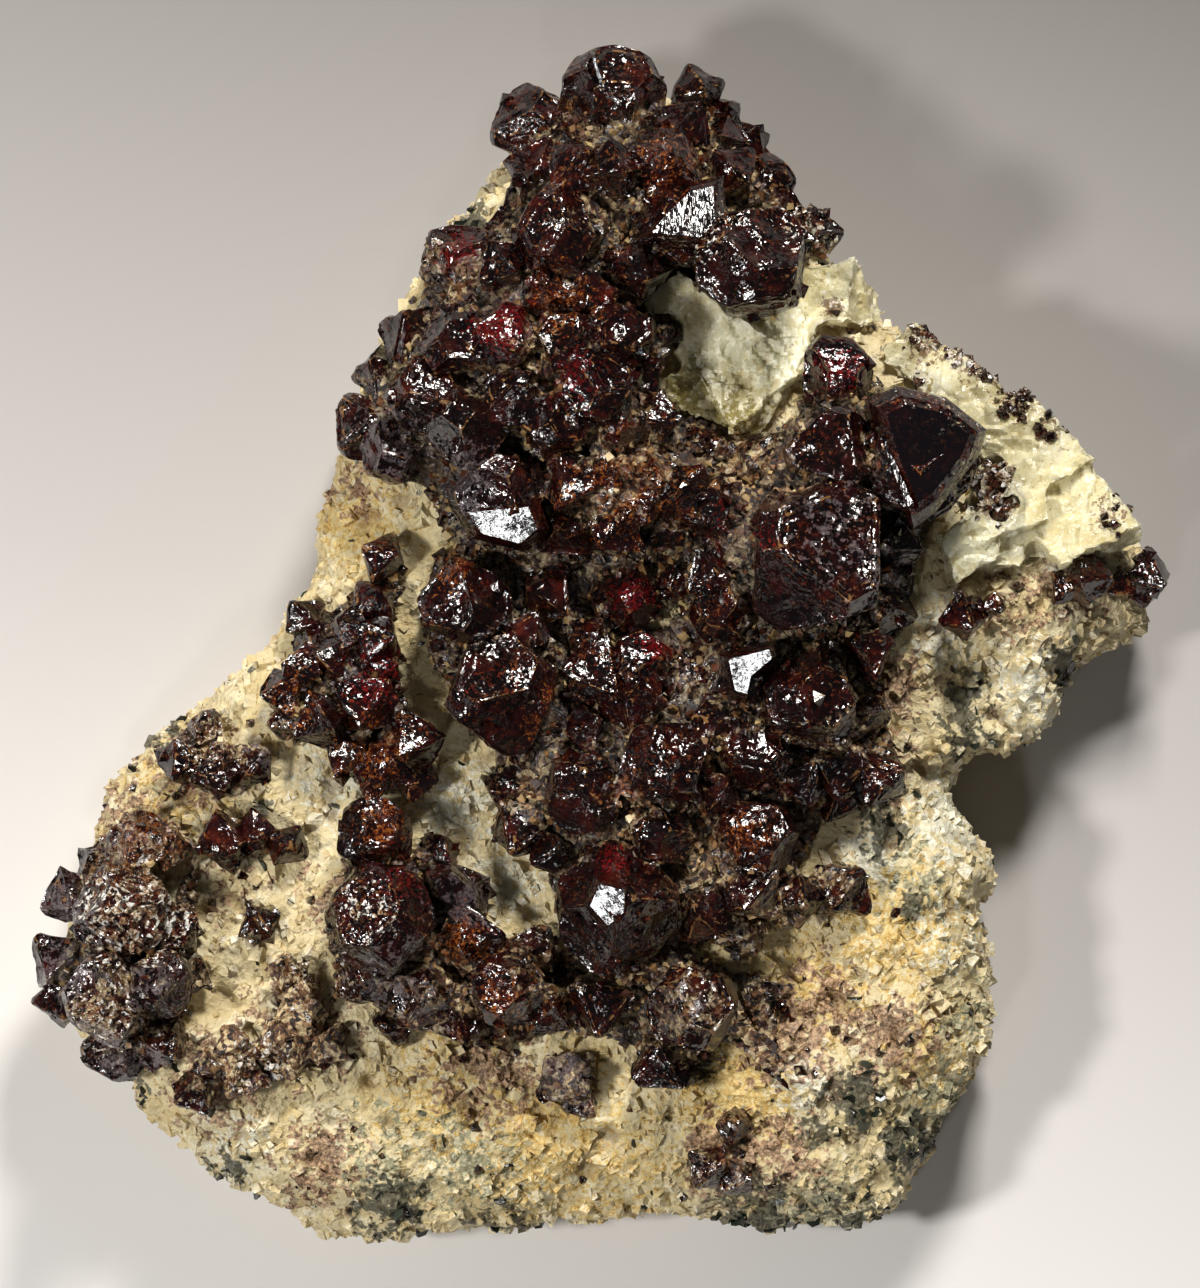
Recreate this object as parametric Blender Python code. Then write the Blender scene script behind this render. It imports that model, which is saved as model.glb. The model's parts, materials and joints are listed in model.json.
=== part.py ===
"""Pyrochlore crystals in matrix: a hand-sized mineral specimen lying on its sawn-flat back.

The cream rock is a broken slab. Dark octahedral crystals stand on its face in one large intergrown mass
and several smaller groups, with two bodies of pale cleavable calcite between them. The face looks up (+Z),
the pointed crown of the specimen is towards +Y, and the origin is on the flat back, under its middle.
"""

import math
import random
from collections import namedtuple

import bmesh
import bpy
from mathutils import Euler, Matrix, Vector, geometry, noise

MM = 0.001

# Driving dimensions, in millimetres
GAP = 0.35
FACE_HEIGHT = 16.5
RIM_DROP = 5.0
RIM_WIDTH = 7.0
RIM_INSET = 0.9
WIDEST_HEIGHT = 8.0
LOWER_HEIGHT = 3.2
LOWER_INSET = 1.0
BACK_INSET = 3.2
SIDE_UNEVEN = 1.6
BROAD_SIZE = 6.0
BROAD_RELIEF = 1.4
KNOB_SIZE = 2.3
KNOB_RELIEF = 1.6
OUTLINE_STEP = 3.4
OUTLINE_UNEVEN = 0.6
ROCK_SPACING = 3.4
MASS_CRUST = 1.6
CRUST_SPACING = 5.0
CRUST_ROOT = 8.5
CRUST_TAPER = 3.0
CRUST_RIM = 0.8
CRUST_UNEVEN = 0.4
CALCITE_BED = 0.2
TRIMMED_RADIUS = 3.7
CALCITE_REACH = 22.0
HIDDEN_DEPTH = 2.5

# Shares of a crystal's radius at which its octahedron and cube faces lie, and the largest free tilt in degrees
OCTAHEDRON_SHARES = (1.04, 1.28)
CUBE_SHARES = (0.72, 0.94)
FREE_TILT = 38

# How far a cleavage block leans along X and Y for each unit of Y and Z
CLEAVAGE_SHEAR = (0.26, 0.20)

# Shares of the points kept in the rock under the large mass, and of the triangles kept in a crystal group
HIDDEN_SHARE = 0.12
KEPT_SHARE = 0.72

ROCK_SEED = 11
MASS_SEED = 5
GROUP_SEED = 20
CALCITE_SEED = 60

# Broken edge of the rock seen from above, anticlockwise, in millimetres
ROCK_EDGE = [
    (2, 52), (-3, 51), (-6.5, 48), (-9.5, 44), (-12.5, 40.5), (-15.5, 36.5), (-18.5, 31), (-21, 26),
    (-23.5, 20), (-24.8, 15), (-26, 10), (-27.3, 5), (-30, 1), (-34, -3), (-38.5, -6.5), (-43, -10.5),
    (-46.3, -14), (-46.5, -19), (-49, -24), (-50, -29), (-49.5, -34), (-47, -38), (-43.5, -41.5),
    (-40.5, -45.5), (-36.5, -49), (-31, -52), (-25.5, -54.8), (-20, -56), (-12, -55), (-4, -54),
    (4, -53.2), (10, -53.4), (17, -54.6), (24, -54.6), (28, -53.2), (29, -50.5), (31.5, -46.5),
    (34, -42), (35.8, -39), (37.3, -35.5), (36.5, -32), (36.7, -28.5), (35.8, -25.5), (37.2, -22.5),
    (36.8, -19.5), (35.2, -17.5), (33.2, -15), (33.3, -12), (35, -10.6), (38, -10), (41.8, -9),
    (43.4, -6), (43.5, -3), (45, -1.8), (48.5, -0.6), (51.3, 1.5), (51.8, 4), (51.5, 8), (48.5, 11),
    (45, 15.8), (42, 20), (39, 22), (35, 25.5), (31.5, 28.2), (28, 29.2), (25, 32), (22.5, 35.5),
    (19, 38.5), (16, 43), (13, 47.5), (8, 51),
]

# Swells and hollows of the rock face: x, y, rise, radius
ROCK_BUMPS = [
    (-5, 24, 2.5, 14), (22, 12, 2.0, 12), (4, 42, 2.0, 12), (3, 5, -1.5, 7), (-13, -17, -1.2, 5),
    (-5, -50, -2.0, 12), (-44, -28, 0.8, 8), (35.5, -3.6, -5.0, 3.2), (36.8, -1.4, 2.2, 1.8),
    (40.8, -5.0, 2.6, 2.8), (36.5, -8.2, 1.6, 2.0), (48, 3, -1.5, 6), (28, -38, 2.2, 7),
    (19.5, -40, 1.6, 2.6), (33, -22, 1.2, 4), (31, -30, 1.4, 3.5), (-26, 8, -2.0, 5), (12, -49, 0.8, 4),
    (-30, -45, 0.6, 5), (24, -45, -1.6, 3.5), (31, -11, 0.8, 3), (44, 0.5, 1.4, 2.6),
]

# Rise of the crystal crust above the rock: x, y, rise, radius
MASS_BUMPS = [
    (2, 47, 4.5, 10), (14, 36, 4.0, 7), (-5, 26, 5.5, 11), (-17, 20, 2.5, 6), (24, 16, 5.0, 8),
    (19, 7, 4.5, 7), (3, 13, 3.5, 6), (5, 3, -2.2, 5), (-9, -1, 2.5, 6), (17, -5, 3.0, 6),
    (5, -12, 3.5, 8), (1.5, -24, 2.5, 6), (15, -19, 2.0, 6), (-19, -24, 4.5, 7), (-8, -31, 2.5, 6),
    (8, -34, 3.0, 6),
]

# Edge of the large crust, from the crown down its right side and back up its left, in millimetres
MASS_EDGE = [
    (1.5, 50), (-2.5, 49.4), (-5.6, 46.6), (-7.6, 43.6), (-9, 40.5), (-11, 38), (-14, 35.4), (-16.4, 31.5),
    (-18, 28), (-19.8, 24), (-21.5, 19.6), (-19, 15.5), (-15, 14), (-14, 9), (-16, 5), (-16, 1),
    (-14, -3), (-11, -8.5), (-9.5, -12), (-9, -17), (-5, -20), (-4, -24), (-2, -27.5), (-4, -29.5),
    (-9.5, -27), (-12, -24.5), (-15, -20), (-17, -16), (-22.5, -16), (-23, -21), (-24.5, -27),
    (-21.5, -32), (-17, -35.5), (-12, -36), (-6, -36), (-1, -35.5), (3.5, -37), (5, -40), (8, -39.5),
    (11, -36.5), (19, -36.5), (24.5, -35), (19, -31.5), (12, -30), (8, -28), (13, -27), (18, -25),
    (23, -24.5), (24.5, -22), (19, -20), (21, -16), (27, -14), (27.5, -9), (25.5, -5), (26.5, -1),
    (28, 3), (29, 8), (31.5, 12.5), (33.5, 16), (33, 19), (29, 21.5), (25, 25), (21, 26.5),
    (18.5, 21), (15, 18.5), (9.5, 18.5), (6, 21), (5, 26), (4, 31), (9, 32.5), (13.5, 30.5),
    (18, 33.5), (19.8, 35.6), (17, 39.6), (14, 43.6), (11.6, 46.6), (8, 49.2), (4.8, 50),
]

# Crystals of the large mass: x, y, radius, rise of the centre above the crust, tip (x, y, z turns in degrees)
MASS_CRYSTALS = [
    # Crown
    (1.4, 50.0, 6.0, 1.4, (12, -14, 38)), (-5.8, 47.6, 4.6, 0.6, (-20, 24, 12)), (9.4, 51.0, 2.7, 0.2, None),
    (11.9, 48.8, 1.9, 0.4, None), (14.0, 46.5, 2.4, 0.2, None), (11.8, 46.3, 2.5, 0.8, None),
    (8.0, 47.0, 2.8, 0.4, None), (15.2, 42.0, 3.8, 0.6, None), (12.3, 42.8, 3.0, 0.8, None),
    (6.3, 43.4, 3.2, 0.6, None), (7.4, 38.6, 4.8, 1.2, (-9, 3, 20)), (13.9, 34.6, 6.6, 1.8, (34, 2, 45)),
    (20.0, 37.6, 3.2, 0.4, None), (17.2, 38.8, 2.9, 1.4, None), (-3.2, 37.2, 5.2, 1.0, (28, 10, 20)),
    (-2.0, 43.2, 2.9, 0.4, None), (-5.6, 43.2, 3.2, 0.2, None), (1.6, 42.8, 2.9, 0.6, None),
    (-13.0, 35.0, 4.4, 0.8, (-16, -22, 30)), (-8.4, 34.4, 2.6, 0.2, None), (3.8, 34.2, 3.3, 0.0, None),
    # Upper ridge
    (-4.2, 31.2, 3.0, 0.6, None), (-0.6, 31.6, 2.6, 0.4, None), (-8.2, 27.6, 4.0, 1.2, (20, 32, 0)),
    (-12.6, 27.0, 4.0, 0.8, None), (-17.0, 28.2, 3.4, 0.0, None), (-2.6, 27.4, 4.0, 1.0, None),
    (1.6, 28.0, 4.2, 0.8, (40, -12, 10)), (5.0, 28.0, 2.8, 0.4, None), (-0.4, 23.4, 4.4, 1.2, (44, 4, 30)),
    (3.8, 24.2, 3.0, 0.6, None), (-15.6, 22.8, 4.6, 0.8, (10, 40, 0)), (-19.8, 25.0, 2.8, 0.0, None),
    (-11.8, 19.8, 4.4, 1.0, None), (-7.4, 22.2, 3.8, 0.8, None), (-21.2, 20.0, 3.9, 0.8, (4, 20, 45)),
    (-18.4, 17.6, 4.0, 1.0, (26, -16, 20)), (1.4, 20.0, 4.0, 0.8, None), (-4.0, 19.6, 4.0, 0.8, None),
    (4.8, 20.6, 3.3, 0.6, (10, 48, 12)), (9.0, 18.3, 2.6, 0.0, None), (12.0, 17.6, 2.3, 0.2, None),
    (14.8, 16.8, 2.7, 0.2, None),
    # Shelf above the valley
    (-8.8, 14.2, 4.9, 1.2, (-30, 8, 18)), (-2.4, 14.6, 3.4, 0.8, None), (1.2, 15.4, 3.4, 0.8, None),
    (4.4, 14.4, 3.4, 0.8, None), (7.8, 13.6, 3.5, 0.6, None), (-2.8, 10.8, 3.3, 0.4, None),
    (1.8, 10.8, 3.4, 0.6, None), (6.2, 10.9, 3.2, 0.2, None), (10.0, 12.4, 3.0, 0.4, None),
    # Right-hand blocks
    (19.6, 8.0, 8.4, 1.2, (-36, -8, 52)), (27.4, 9.2, 2.8, 0.6, None), (27.0, 6.4, 2.6, 0.6, None),
    (26.3, 3.4, 3.4, 0.4, None), (28.8, 17.0, 7.0, 1.2, (18, -30, 24)), (21.4, 17.0, 5.4, 0.4, (30, 18, 4)),
    (22.0, 24.8, 4.3, 1.2, (14, -10, 40)),
    # Middle of the mass
    (-11.8, 3.6, 5.2, 0.8, (34, 6, 12)), (-6.4, 1.0, 2.4, 1.0, None), (-4.8, 4.2, 2.8, 0.4, None),
    (2.6, 4.4, 4.3, 1.0, None), (-0.8, 1.0, 2.6, 0.6, None), (7.4, 6.0, 2.8, 0.4, None),
    (-8.6, -4.5, 6.3, 1.0, (8, 46, 20)), (0.0, -3.0, 3.6, 0.8, None), (4.2, -1.6, 3.8, 1.2, None),
    (3.0, -5.6, 3.2, 1.0, None), (-1.0, -7.6, 2.3, 0.8, None), (11.4, 3.0, 4.0, 0.8, (20, 24, 8)),
    (10.4, 6.2, 2.9, 0.4, None), (13.6, -2.8, 3.2, 1.8, (-8, 6, 26)), (19.4, -4.6, 6.0, 1.2, (-24, -26, 60)),
    (23.8, -1.0, 3.3, 0.4, None), (24.4, -5.6, 3.0, 0.4, None), (6.4, -10.8, 5.6, 1.2, (30, 2, 40)),
    (11.6, -7.8, 4.1, 0.4, None), (14.6, -9.8, 4.4, 1.0, (16, 34, 0)), (-1.2, -13.6, 4.6, 1.2, (54.7, 0, 45)),
    (-7.9, -13.0, 2.7, 0.4, None), (-6.8, -17.0, 3.3, 0.4, None), (-4.0, -19.0, 2.6, 0.6, None),
    (5.6, -17.4, 3.8, 1.0, None), (14.4, -18.0, 4.7, 1.0, (22, -14, 30)), (11.0, -13.8, 2.5, 0.6, None),
    (18.4, -12.0, 3.0, 0.4, None), (22.0, -11.0, 3.0, 0.2, None), (26.0, -12.0, 3.0, 0.2, None),
    (21.8, -14.2, 2.5, 0.2, None), (1.5, -24.2, 6.9, 1.6, (-7, 3, 2)), (10.0, -24.4, 3.5, 0.6, None),
    (14.0, -22.4, 3.6, 0.6, None), (18.4, -23.2, 2.8, 0.4, None), (22.4, -22.6, 3.1, 0.4, None),
    (13.2, -26.6, 2.4, 0.0, None),
    # Lower arm
    (-20.4, -17.6, 4.1, 1.0, (10, 8, 45)), (-19.6, -25.0, 6.2, 0.8, (30, 20, 10)), (-20.8, -30.2, 4.0, 0.0, None),
    (-12.4, -22.9, 3.1, 0.8, (6, -4, 30)), (-14.6, -19.6, 2.4, 0.0, None), (-11.8, -27.0, 3.4, 1.0, None),
    (-16.0, -32.0, 3.7, 0.6, None), (-18.4, -34.6, 2.4, 0.2, None), (-13.0, -33.4, 3.6, 0.4, None),
    (-8.0, -31.4, 4.5, 0.8, None), (-6.0, -28.6, 2.9, 0.6, None), (0.3, -32.8, 3.6, 0.8, None),
    (8.6, -33.2, 5.0, 1.0, (36, -10, 24)), (6.0, -38.6, 3.3, 0.6, None), (15.4, -33.8, 3.6, 0.2, None),
    (20.0, -34.2, 3.2, 0.0, None), (-4.6, -33.4, 2.6, 0.4, None), (-9.0, -35.6, 2.6, 0.0, None),
    (3.8, -29.0, 2.4, 0.2, None),
]

# Smaller groups: name, material, thickness of the crust, its edge, and its crystals as above
GROUPS = [
    (
        "pyrochlore_band_left", "pyrochlore", 2.2,
        [(-18, 9), (-20.5, 9), (-21, 5), (-25, 4), (-27.5, 3), (-28.5, -1), (-29.5, -5), (-27.5, -8),
         (-24, -10), (-22, -13), (-18, -13.5), (-15.5, -10.5), (-17.5, -7), (-18, -3), (-18.6, 1), (-18.4, 5)],
        [(-19.6, 8.0, 2.4, 0.6, None), (-20.4, 4.0, 2.3, 0.6, None), (-22.6, 1.6, 2.1, 0.4, None),
         (-20.2, 0.4, 2.4, 0.6, None), (-19.6, -2.4, 2.3, 0.6, None), (-24.4, -1.4, 2.5, 0.4, None),
         (-27.0, 2.4, 2.3, 0.2, None), (-26.8, -2.2, 2.5, 0.4, None), (-28.6, -4.4, 2.5, 0.6, None),
         (-28.0, -7.2, 2.3, 0.2, None), (-25.0, -7.0, 3.1, 0.8, (20, 10, 30)), (-21.0, -5.6, 3.3, 1.2, None),
         (-22.6, -10.0, 2.8, 0.6, None), (-19.6, -11.4, 3.5, 0.8, None), (-16.8, -9.0, 3.4, 1.2, (14, -20, 10)),
         (-16.8, -12.4, 2.3, 0.4, None)],
    ),
    (
        "pyrochlore_corner", "pyrochlore", 3.0,
        [(-43.6, -15.6), (-45, -19.5), (-47.4, -24), (-48.4, -29), (-48, -33), (-46, -36.4), (-43.2, -38.8),
         (-40.5, -37.5), (-38, -34), (-36.5, -30), (-37, -25), (-37, -20), (-38.5, -17), (-41, -15.5)],
        [(-48.2, -23.4, 3.2, 0.6, (20, 6, 20)), (-49.6, -29.6, 3.4, 0.6, (8, -26, 40)),
         (-43.2, -24.6, 5.2, 0.4, None), (-42.0, -18.2, 3.8, 0.2, None), (-46.2, -20.2, 2.4, 0.2, None),
         (-39.2, -18.6, 2.5, 0.2, None), (-38.8, -26.0, 2.9, 0.2, None), (-49.2, -33.0, 2.9, 0.2, (30, 4, 0)),
         (-44.2, -32.4, 5.2, 0.8, (26, 12, 10)), (-39.6, -31.0, 3.8, 0.8, (6, -10, 30)),
         (-44.0, -37.2, 3.7, 0.4, (-24, 8, 10)), (-39.8, -36.8, 2.7, 0.2, None), (-37.2, -30.4, 2.2, 0.0, None)],
    ),
    (
        "pyrochlore_patch_upper_left", "pyrochlore", 1.2,
        [(-36, -6.5), (-39, -8.5), (-40, -11.5), (-38, -13), (-33, -14), (-30.5, -12), (-31.5, -9.8), (-34.5, -9)],
        [(-38.0, -10.8, 2.6, 0.2, None), (-35.8, -7.8, 1.9, 0.2, None), (-34.6, -11.6, 2.7, 0.4, None),
         (-31.8, -11.2, 2.4, 0.4, None)],
    ),
    (
        "pyrochlore_pair_left", "pyrochlore", 1.2,
        [(-33, -16.5), (-35.5, -18.5), (-34.5, -20), (-31.5, -19), (-28.5, -19.6), (-27, -18.4), (-29, -17.2)],
        [(-34.0, -18.2, 2.9, 0.6, (12, 30, 20)), (-31.4, -17.4, 2.2, 0.4, None), (-28.4, -18.4, 2.3, 0.4, None)],
    ),
    (
        "pyrochlore_single_red", "pyrochlore", 0.6,
        [(-31, -25), (-32.4, -26.4), (-31.6, -27.8), (-30.2, -26.4)],
        [(-31.0, -25.8, 2.1, 0.4, (30, 10, 30))],
    ),
    (
        "pyrochlore_patch_lower_left", "altered_pyrochlore", 1.0,
        [(-28.5, -29.5), (-29, -33), (-31, -36.5), (-35, -37), (-37.5, -39.5), (-37, -42), (-33, -41),
         (-28, -39.5), (-24, -37.5), (-25.2, -33), (-26.5, -30.5)],
        [(-28.4, -30.0, 1.9, 0.4, None), (-27.0, -31.8, 1.9, 0.4, None), (-27.0, -34.2, 2.6, 0.4, None),
         (-28.8, -37.0, 3.0, 0.4, (-12, 10, 20)), (-24.6, -36.8, 2.2, 0.2, None), (-35.4, -38.8, 2.1, 0.4, None),
         (-32.6, -39.4, 2.7, 0.4, None), (-36.8, -41.0, 2.3, 0.2, None), (-33.4, -36.8, 2.0, 0.0, None)],
    ),
    (
        "altered_crystal_grey", "altered_pyrochlore", 0.8,
        [(-3, -38.4), (-5, -39.6), (-4, -42.2), (-1, -42), (-0.8, -39.4)],
        [(-3.0, -39.8, 3.1, 0.2, (50, 4, 40)), (-1.4, -42.2, 1.9, 0.0, None)],
    ),
    (
        "pyrochlore_patch_lower_right", "altered_pyrochlore", 0.8,
        [(12.5, -43.5), (11, -46), (9, -48), (10.5, -50), (13.5, -49), (14, -46)],
        [(12.6, -44.2, 1.8, 0.2, None), (10.4, -47.8, 2.4, 0.3, None), (12.8, -48.8, 2.1, 0.2, None)],
    ),
    (
        "pyrochlore_single_brown", "pyrochlore", 0.5,
        [(33.5, 4), (32, 3), (32.4, 1.2), (34.6, 1.2), (35.2, 3)],
        [(33.6, 2.4, 2.5, 0.3, (24, 12, 10)), (36.2, 3.6, 1.4, 0.2, None)],
    ),
    (
        "pyrochlore_group_right", "altered_pyrochlore", 0.8,
        [(36, 15.6), (35, 13.4), (36.8, 11.6), (38.2, 12.6), (38, 15)],
        [(36.2, 14.6, 2.0, 0.3, None), (37.2, 12.4, 1.8, 0.3, None)],
    ),
    (
        "pyrochlore_edge_inner", "pyrochlore", 0.9,
        [(45, 7.4), (42, 6.6), (42.4, 4.8), (45, 4.2), (46.6, 5.6)],
        [(44.8, 6.0, 2.6, 0.5, None), (42.8, 5.2, 1.9, 0.2, None)],
    ),
    (
        "pyrochlore_edge_tip", "pyrochlore", 0.9,
        [(50.2, 7.4), (48.4, 6.6), (48.6, 4.8), (50.2, 4.4)],
        [(50.6, 6.0, 2.8, 0.4, (20, 30, 10)), (48.4, 5.4, 1.8, 0.0, None)],
    ),
]

# Calcite bodies: name, edge, then cleavage blocks as x, y, half lengths along three cleavages, rise, turn, tip
CALCITE = [
    (
        "calcite_upper",
        [(4.5, 31), (8, 32.6), (14, 31), (18.5, 33.5), (22, 35), (24.5, 31.5), (23, 29), (19.4, 28.4),
         (18.5, 24), (15.5, 20.8), (11.5, 20), (8.2, 21.6), (7, 25), (7, 29)],
        [(8.6, 29.4, 5.4, 3.6, 2.6, 0.6, -36, (16, 10)), (14.6, 25.0, 5.8, 4.0, 3.0, 1.0, 42, (-10, 14)),
         (9.6, 23.6, 3.6, 2.6, 2.4, 0.0, 30, (10, -14)), (20.8, 31.8, 3.4, 3.0, 2.6, 0.8, 10, (4, -12)),
         (13.2, 21.4, 3.2, 2.2, 2.0, -0.6, -10, (24, 0)), (17.6, 28.2, 3.0, 2.4, 2.6, 0.6, 60, (8, 6)),
         (24.0, 30.4, 2.2, 2.0, 2.2, 0.2, 30, (0, -14))],
    ),
    (
        "calcite_right",
        [(28, 28.4), (26, 26), (29.5, 23.2), (33.6, 21), (35.4, 17.6), (33.6, 12.6), (31.4, 9.6), (32, 6.8),
         (36, 6), (39.5, 7.4), (43, 7.8), (47.4, 8.8), (47.2, 11.2), (44, 15.8), (41.2, 19.6), (38.2, 21.8),
         (34.4, 25), (31, 27.6)],
        [(29.8, 26.0, 3.4, 2.6, 2.4, 0.2, -40, (6, -8)), (33.8, 22.6, 4.2, 3.0, 2.6, 0.4, -42, (4, -10)),
         (39.2, 17.6, 5.0, 4.0, 3.0, 0.6, -46, (2, -12)), (43.2, 12.0, 5.2, 4.4, 3.0, 0.4, -50, (6, -14)),
         (38.4, 12.8, 3.2, 3.2, 2.6, 0.2, 20, (-6, 4)), (34.0, 8.8, 2.9, 2.6, 2.8, 0.6, 35, (10, 6)),
         (37.4, 9.0, 2.2, 2.6, 2.4, 0.2, 0, (0, 8)), (36.8, 19.4, 2.6, 2.2, 2.4, 0.8, -20, (8, 0))],
    ),
]

Group = namedtuple("Group", "name material thickness edge crystals bumps seed")


def clear_scene():
    for obj in list(bpy.data.objects):
        bpy.data.objects.remove(obj, do_unlink=True)


def new_collection(name, shown=True):
    made = bpy.data.collections.new(name)
    bpy.context.scene.collection.children.link(made)
    made.hide_render = not shown
    return made


def new_material(name, colour, roughness):
    material = bpy.data.materials.new(name)
    material.use_nodes = True
    shader = material.node_tree.nodes["Principled BSDF"]
    shader.inputs["Base Color"].default_value = (*colour, 1)
    shader.inputs["Roughness"].default_value = roughness
    shader.inputs["Metallic"].default_value = 0
    return material


def face_outwards(bm):
    """Points every face of a closed mesh outwards."""
    bmesh.ops.recalc_face_normals(bm, faces=bm.faces)
    if bm.calc_volume(signed=True) < 0:
        bmesh.ops.reverse_faces(bm, faces=bm.faces)


def object_from(bm, name, collection, material=None, shown=True):
    """A new object, in metres, from a mesh worked out in millimetres."""
    face_outwards(bm)
    bmesh.ops.scale(bm, vec=(MM, MM, MM), verts=bm.verts)
    mesh = bpy.data.meshes.new(name)
    bm.to_mesh(mesh)
    bm.free()
    obj = bpy.data.objects.new(name, mesh)
    collection.objects.link(obj)
    if material:
        mesh.materials.append(material)
    if not shown:
        obj.hide_render = True
        obj.display_type = "WIRE"
    return obj


def swell(x, y, bumps):
    """Sum of rounded rises and hollows at a point."""
    return sum(rise * math.exp(-((x - bx) ** 2 + (y - by) ** 2) / radius**2) for bx, by, rise, radius in bumps)


def edge_distance(x, y, edge):
    """How far a point is from a closed line."""
    point = Vector((x, y))
    distances = []
    for i, end in enumerate(edge):
        a, b = Vector(edge[i - 1]), Vector(end)
        share = geometry.intersect_point_line(point, a, b)[1]
        nearest = a.lerp(b, min(1.0, max(0.0, share)))
        distances.append((point - nearest).length)
    return min(distances)


def inside(x, y, edge):
    """True if a point lies within a closed line."""
    found = False
    for i, (bx, by) in enumerate(edge):
        ax, ay = edge[i - 1]
        if (ay > y) != (by > y) and x < (bx - ax) * (y - ay) / (by - ay) + ax:
            found = not found
    return found


def rock_height(x, y):
    """Height of the rock face, which falls away to its broken rim."""
    rim = max(0.0, 1 - edge_distance(x, y, ROCK_EDGE) / RIM_WIDTH)
    broad = noise.noise(Vector((x, y, 0)) / BROAD_SIZE) * BROAD_RELIEF
    knobbly = noise.noise(Vector((x, y, 0)) / KNOB_SIZE) * KNOB_RELIEF
    return FACE_HEIGHT + swell(x, y, ROCK_BUMPS) + broad + knobbly - RIM_DROP * rim**2


def roughened(edge, rng):
    """A closed line with more points, pushed a little in and out."""
    points = []
    for i, end in enumerate(edge):
        a, b = Vector(edge[i - 1]), Vector(end)
        across = Vector((b.y - a.y, a.x - b.x)).normalized()
        count = max(1, round((b - a).length / OUTLINE_STEP))
        for k in range(count):
            shift = rng.uniform(-OUTLINE_UNEVEN, OUTLINE_UNEVEN) if k else 0.0
            points.append(a.lerp(b, k / count) + across * shift)
    return points


def moved_in(points, depth):
    """The points of an anticlockwise closed line, each moved inwards."""
    moved = []
    for i, point in enumerate(points):
        along = (points[(i + 1) % len(points)] - points[i - 1]).normalized()
        moved.append(point + Vector((-along.y, along.x)) * depth)
    return moved


def anywhere(x, y):
    return True


def filled_surface(edge, spacing, height, rng, wanted=anywhere):
    """An uneven sheet of triangles inside a closed line."""
    xs = [x for x, y in edge]
    ys = [y for x, y in edge]
    points = [Vector(p) for p in edge]
    y = min(ys)
    row = 0
    loose = spacing * 0.3
    while y < max(ys):
        x = min(xs) + spacing / 2 * (row % 2)
        while x < max(xs):
            px = x + rng.uniform(-loose, loose)
            py = y + rng.uniform(-loose, loose)
            clear = inside(px, py, edge) and edge_distance(px, py, edge) > spacing / 2
            if clear and wanted(px, py):
                points.append(Vector((px, py)))
            x += spacing
        y += spacing * math.sqrt(3) / 2
        row += 1
    count = len(edge)
    sides = [(i, (i + 1) % count) for i in range(count)]
    flat, _, faces, _, _, _ = geometry.delaunay_2d_cdt(points, sides, [], 1, 1e-5)
    bm = bmesh.new()
    verts = [bm.verts.new((p.x, p.y, height(p.x, p.y))) for p in flat]
    for face in faces:
        bm.faces.new([verts[i] for i in face])
    bmesh.ops.recalc_face_normals(bm, faces=bm.faces)
    return bm


def drawn_down(bm, place):
    """Extrudes the open rim once and puts each new point where place says."""
    rim = [e for e in bm.edges if e.is_boundary]
    made = bmesh.ops.extrude_edge_only(bm, edges=rim)["geom"]
    for item in made:
        if isinstance(item, bmesh.types.BMVert):
            item.co = place(item.co)


def close_below(bm):
    """Closes the open rim with one flat face."""
    rim = [e for e in bm.edges if e.is_boundary]
    bmesh.ops.holes_fill(bm, edges=rim, sides=0)


def ring_move(points, targets, height, uneven, rng):
    """A rule that takes each point of one closed line to its partner on another, at a height."""
    pairs = {(round(p.x, 3), round(p.y, 3)): t for p, t in zip(points, targets)}

    def place(co):
        partner = pairs[(round(co.x, 3), round(co.y, 3))]
        return Vector((partner.x, partner.y, height + rng.uniform(-uneven, uneven)))

    return place


def rock_mesh():
    """The slab: its uneven face, three rings of broken side, and the flat back."""
    rng = random.Random(ROCK_SEED)
    widest = roughened(ROCK_EDGE, rng)
    rim = moved_in(widest, RIM_INSET)
    lower = moved_in(widest, LOWER_INSET)
    back = moved_in(widest, BACK_INSET)

    def wanted(x, y):
        hidden = inside(x, y, MASS_EDGE) and edge_distance(x, y, MASS_EDGE) > HIDDEN_DEPTH
        return not hidden or rng.random() < HIDDEN_SHARE

    bm = filled_surface(rim, ROCK_SPACING, rock_height, rng, wanted)
    drawn_down(bm, ring_move(rim, widest, WIDEST_HEIGHT, SIDE_UNEVEN, rng))
    drawn_down(bm, ring_move(widest, lower, LOWER_HEIGHT, SIDE_UNEVEN / 2, rng))
    drawn_down(bm, ring_move(lower, back, 0, 0, rng))
    close_below(bm)
    return bm


def grown(bm, by):
    """Moves every face of a closed mesh outwards."""
    face_outwards(bm)
    bm.normal_update()
    shifts = [(v, v.normal * by * min(2.0, v.calc_shell_factor())) for v in bm.verts]
    for vert, shift in shifts:
        vert.co += shift
    return bm


def crust_height(x, y, group):
    """Height of a group's crust, which thins out towards its edge."""
    share = min(1.0, edge_distance(x, y, group.edge) / CRUST_TAPER) if inside(x, y, group.edge) else 0.0
    return rock_height(x, y) + CRUST_RIM + max(0.0, group.thickness + swell(x, y, group.bumps)) * share


def crust_mesh(group):
    """The low, uneven bed that a group's crystals grow from. Its root goes down into the rock."""
    rng = random.Random(group.seed)

    def height(x, y):
        return crust_height(x, y, group) + rng.uniform(-CRUST_UNEVEN, CRUST_UNEVEN)

    bm = filled_surface(group.edge, CRUST_SPACING, height, rng)
    drawn_down(bm, lambda co: Vector((co.x, co.y, CRUST_ROOT)))
    close_below(bm)
    return bm


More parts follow.
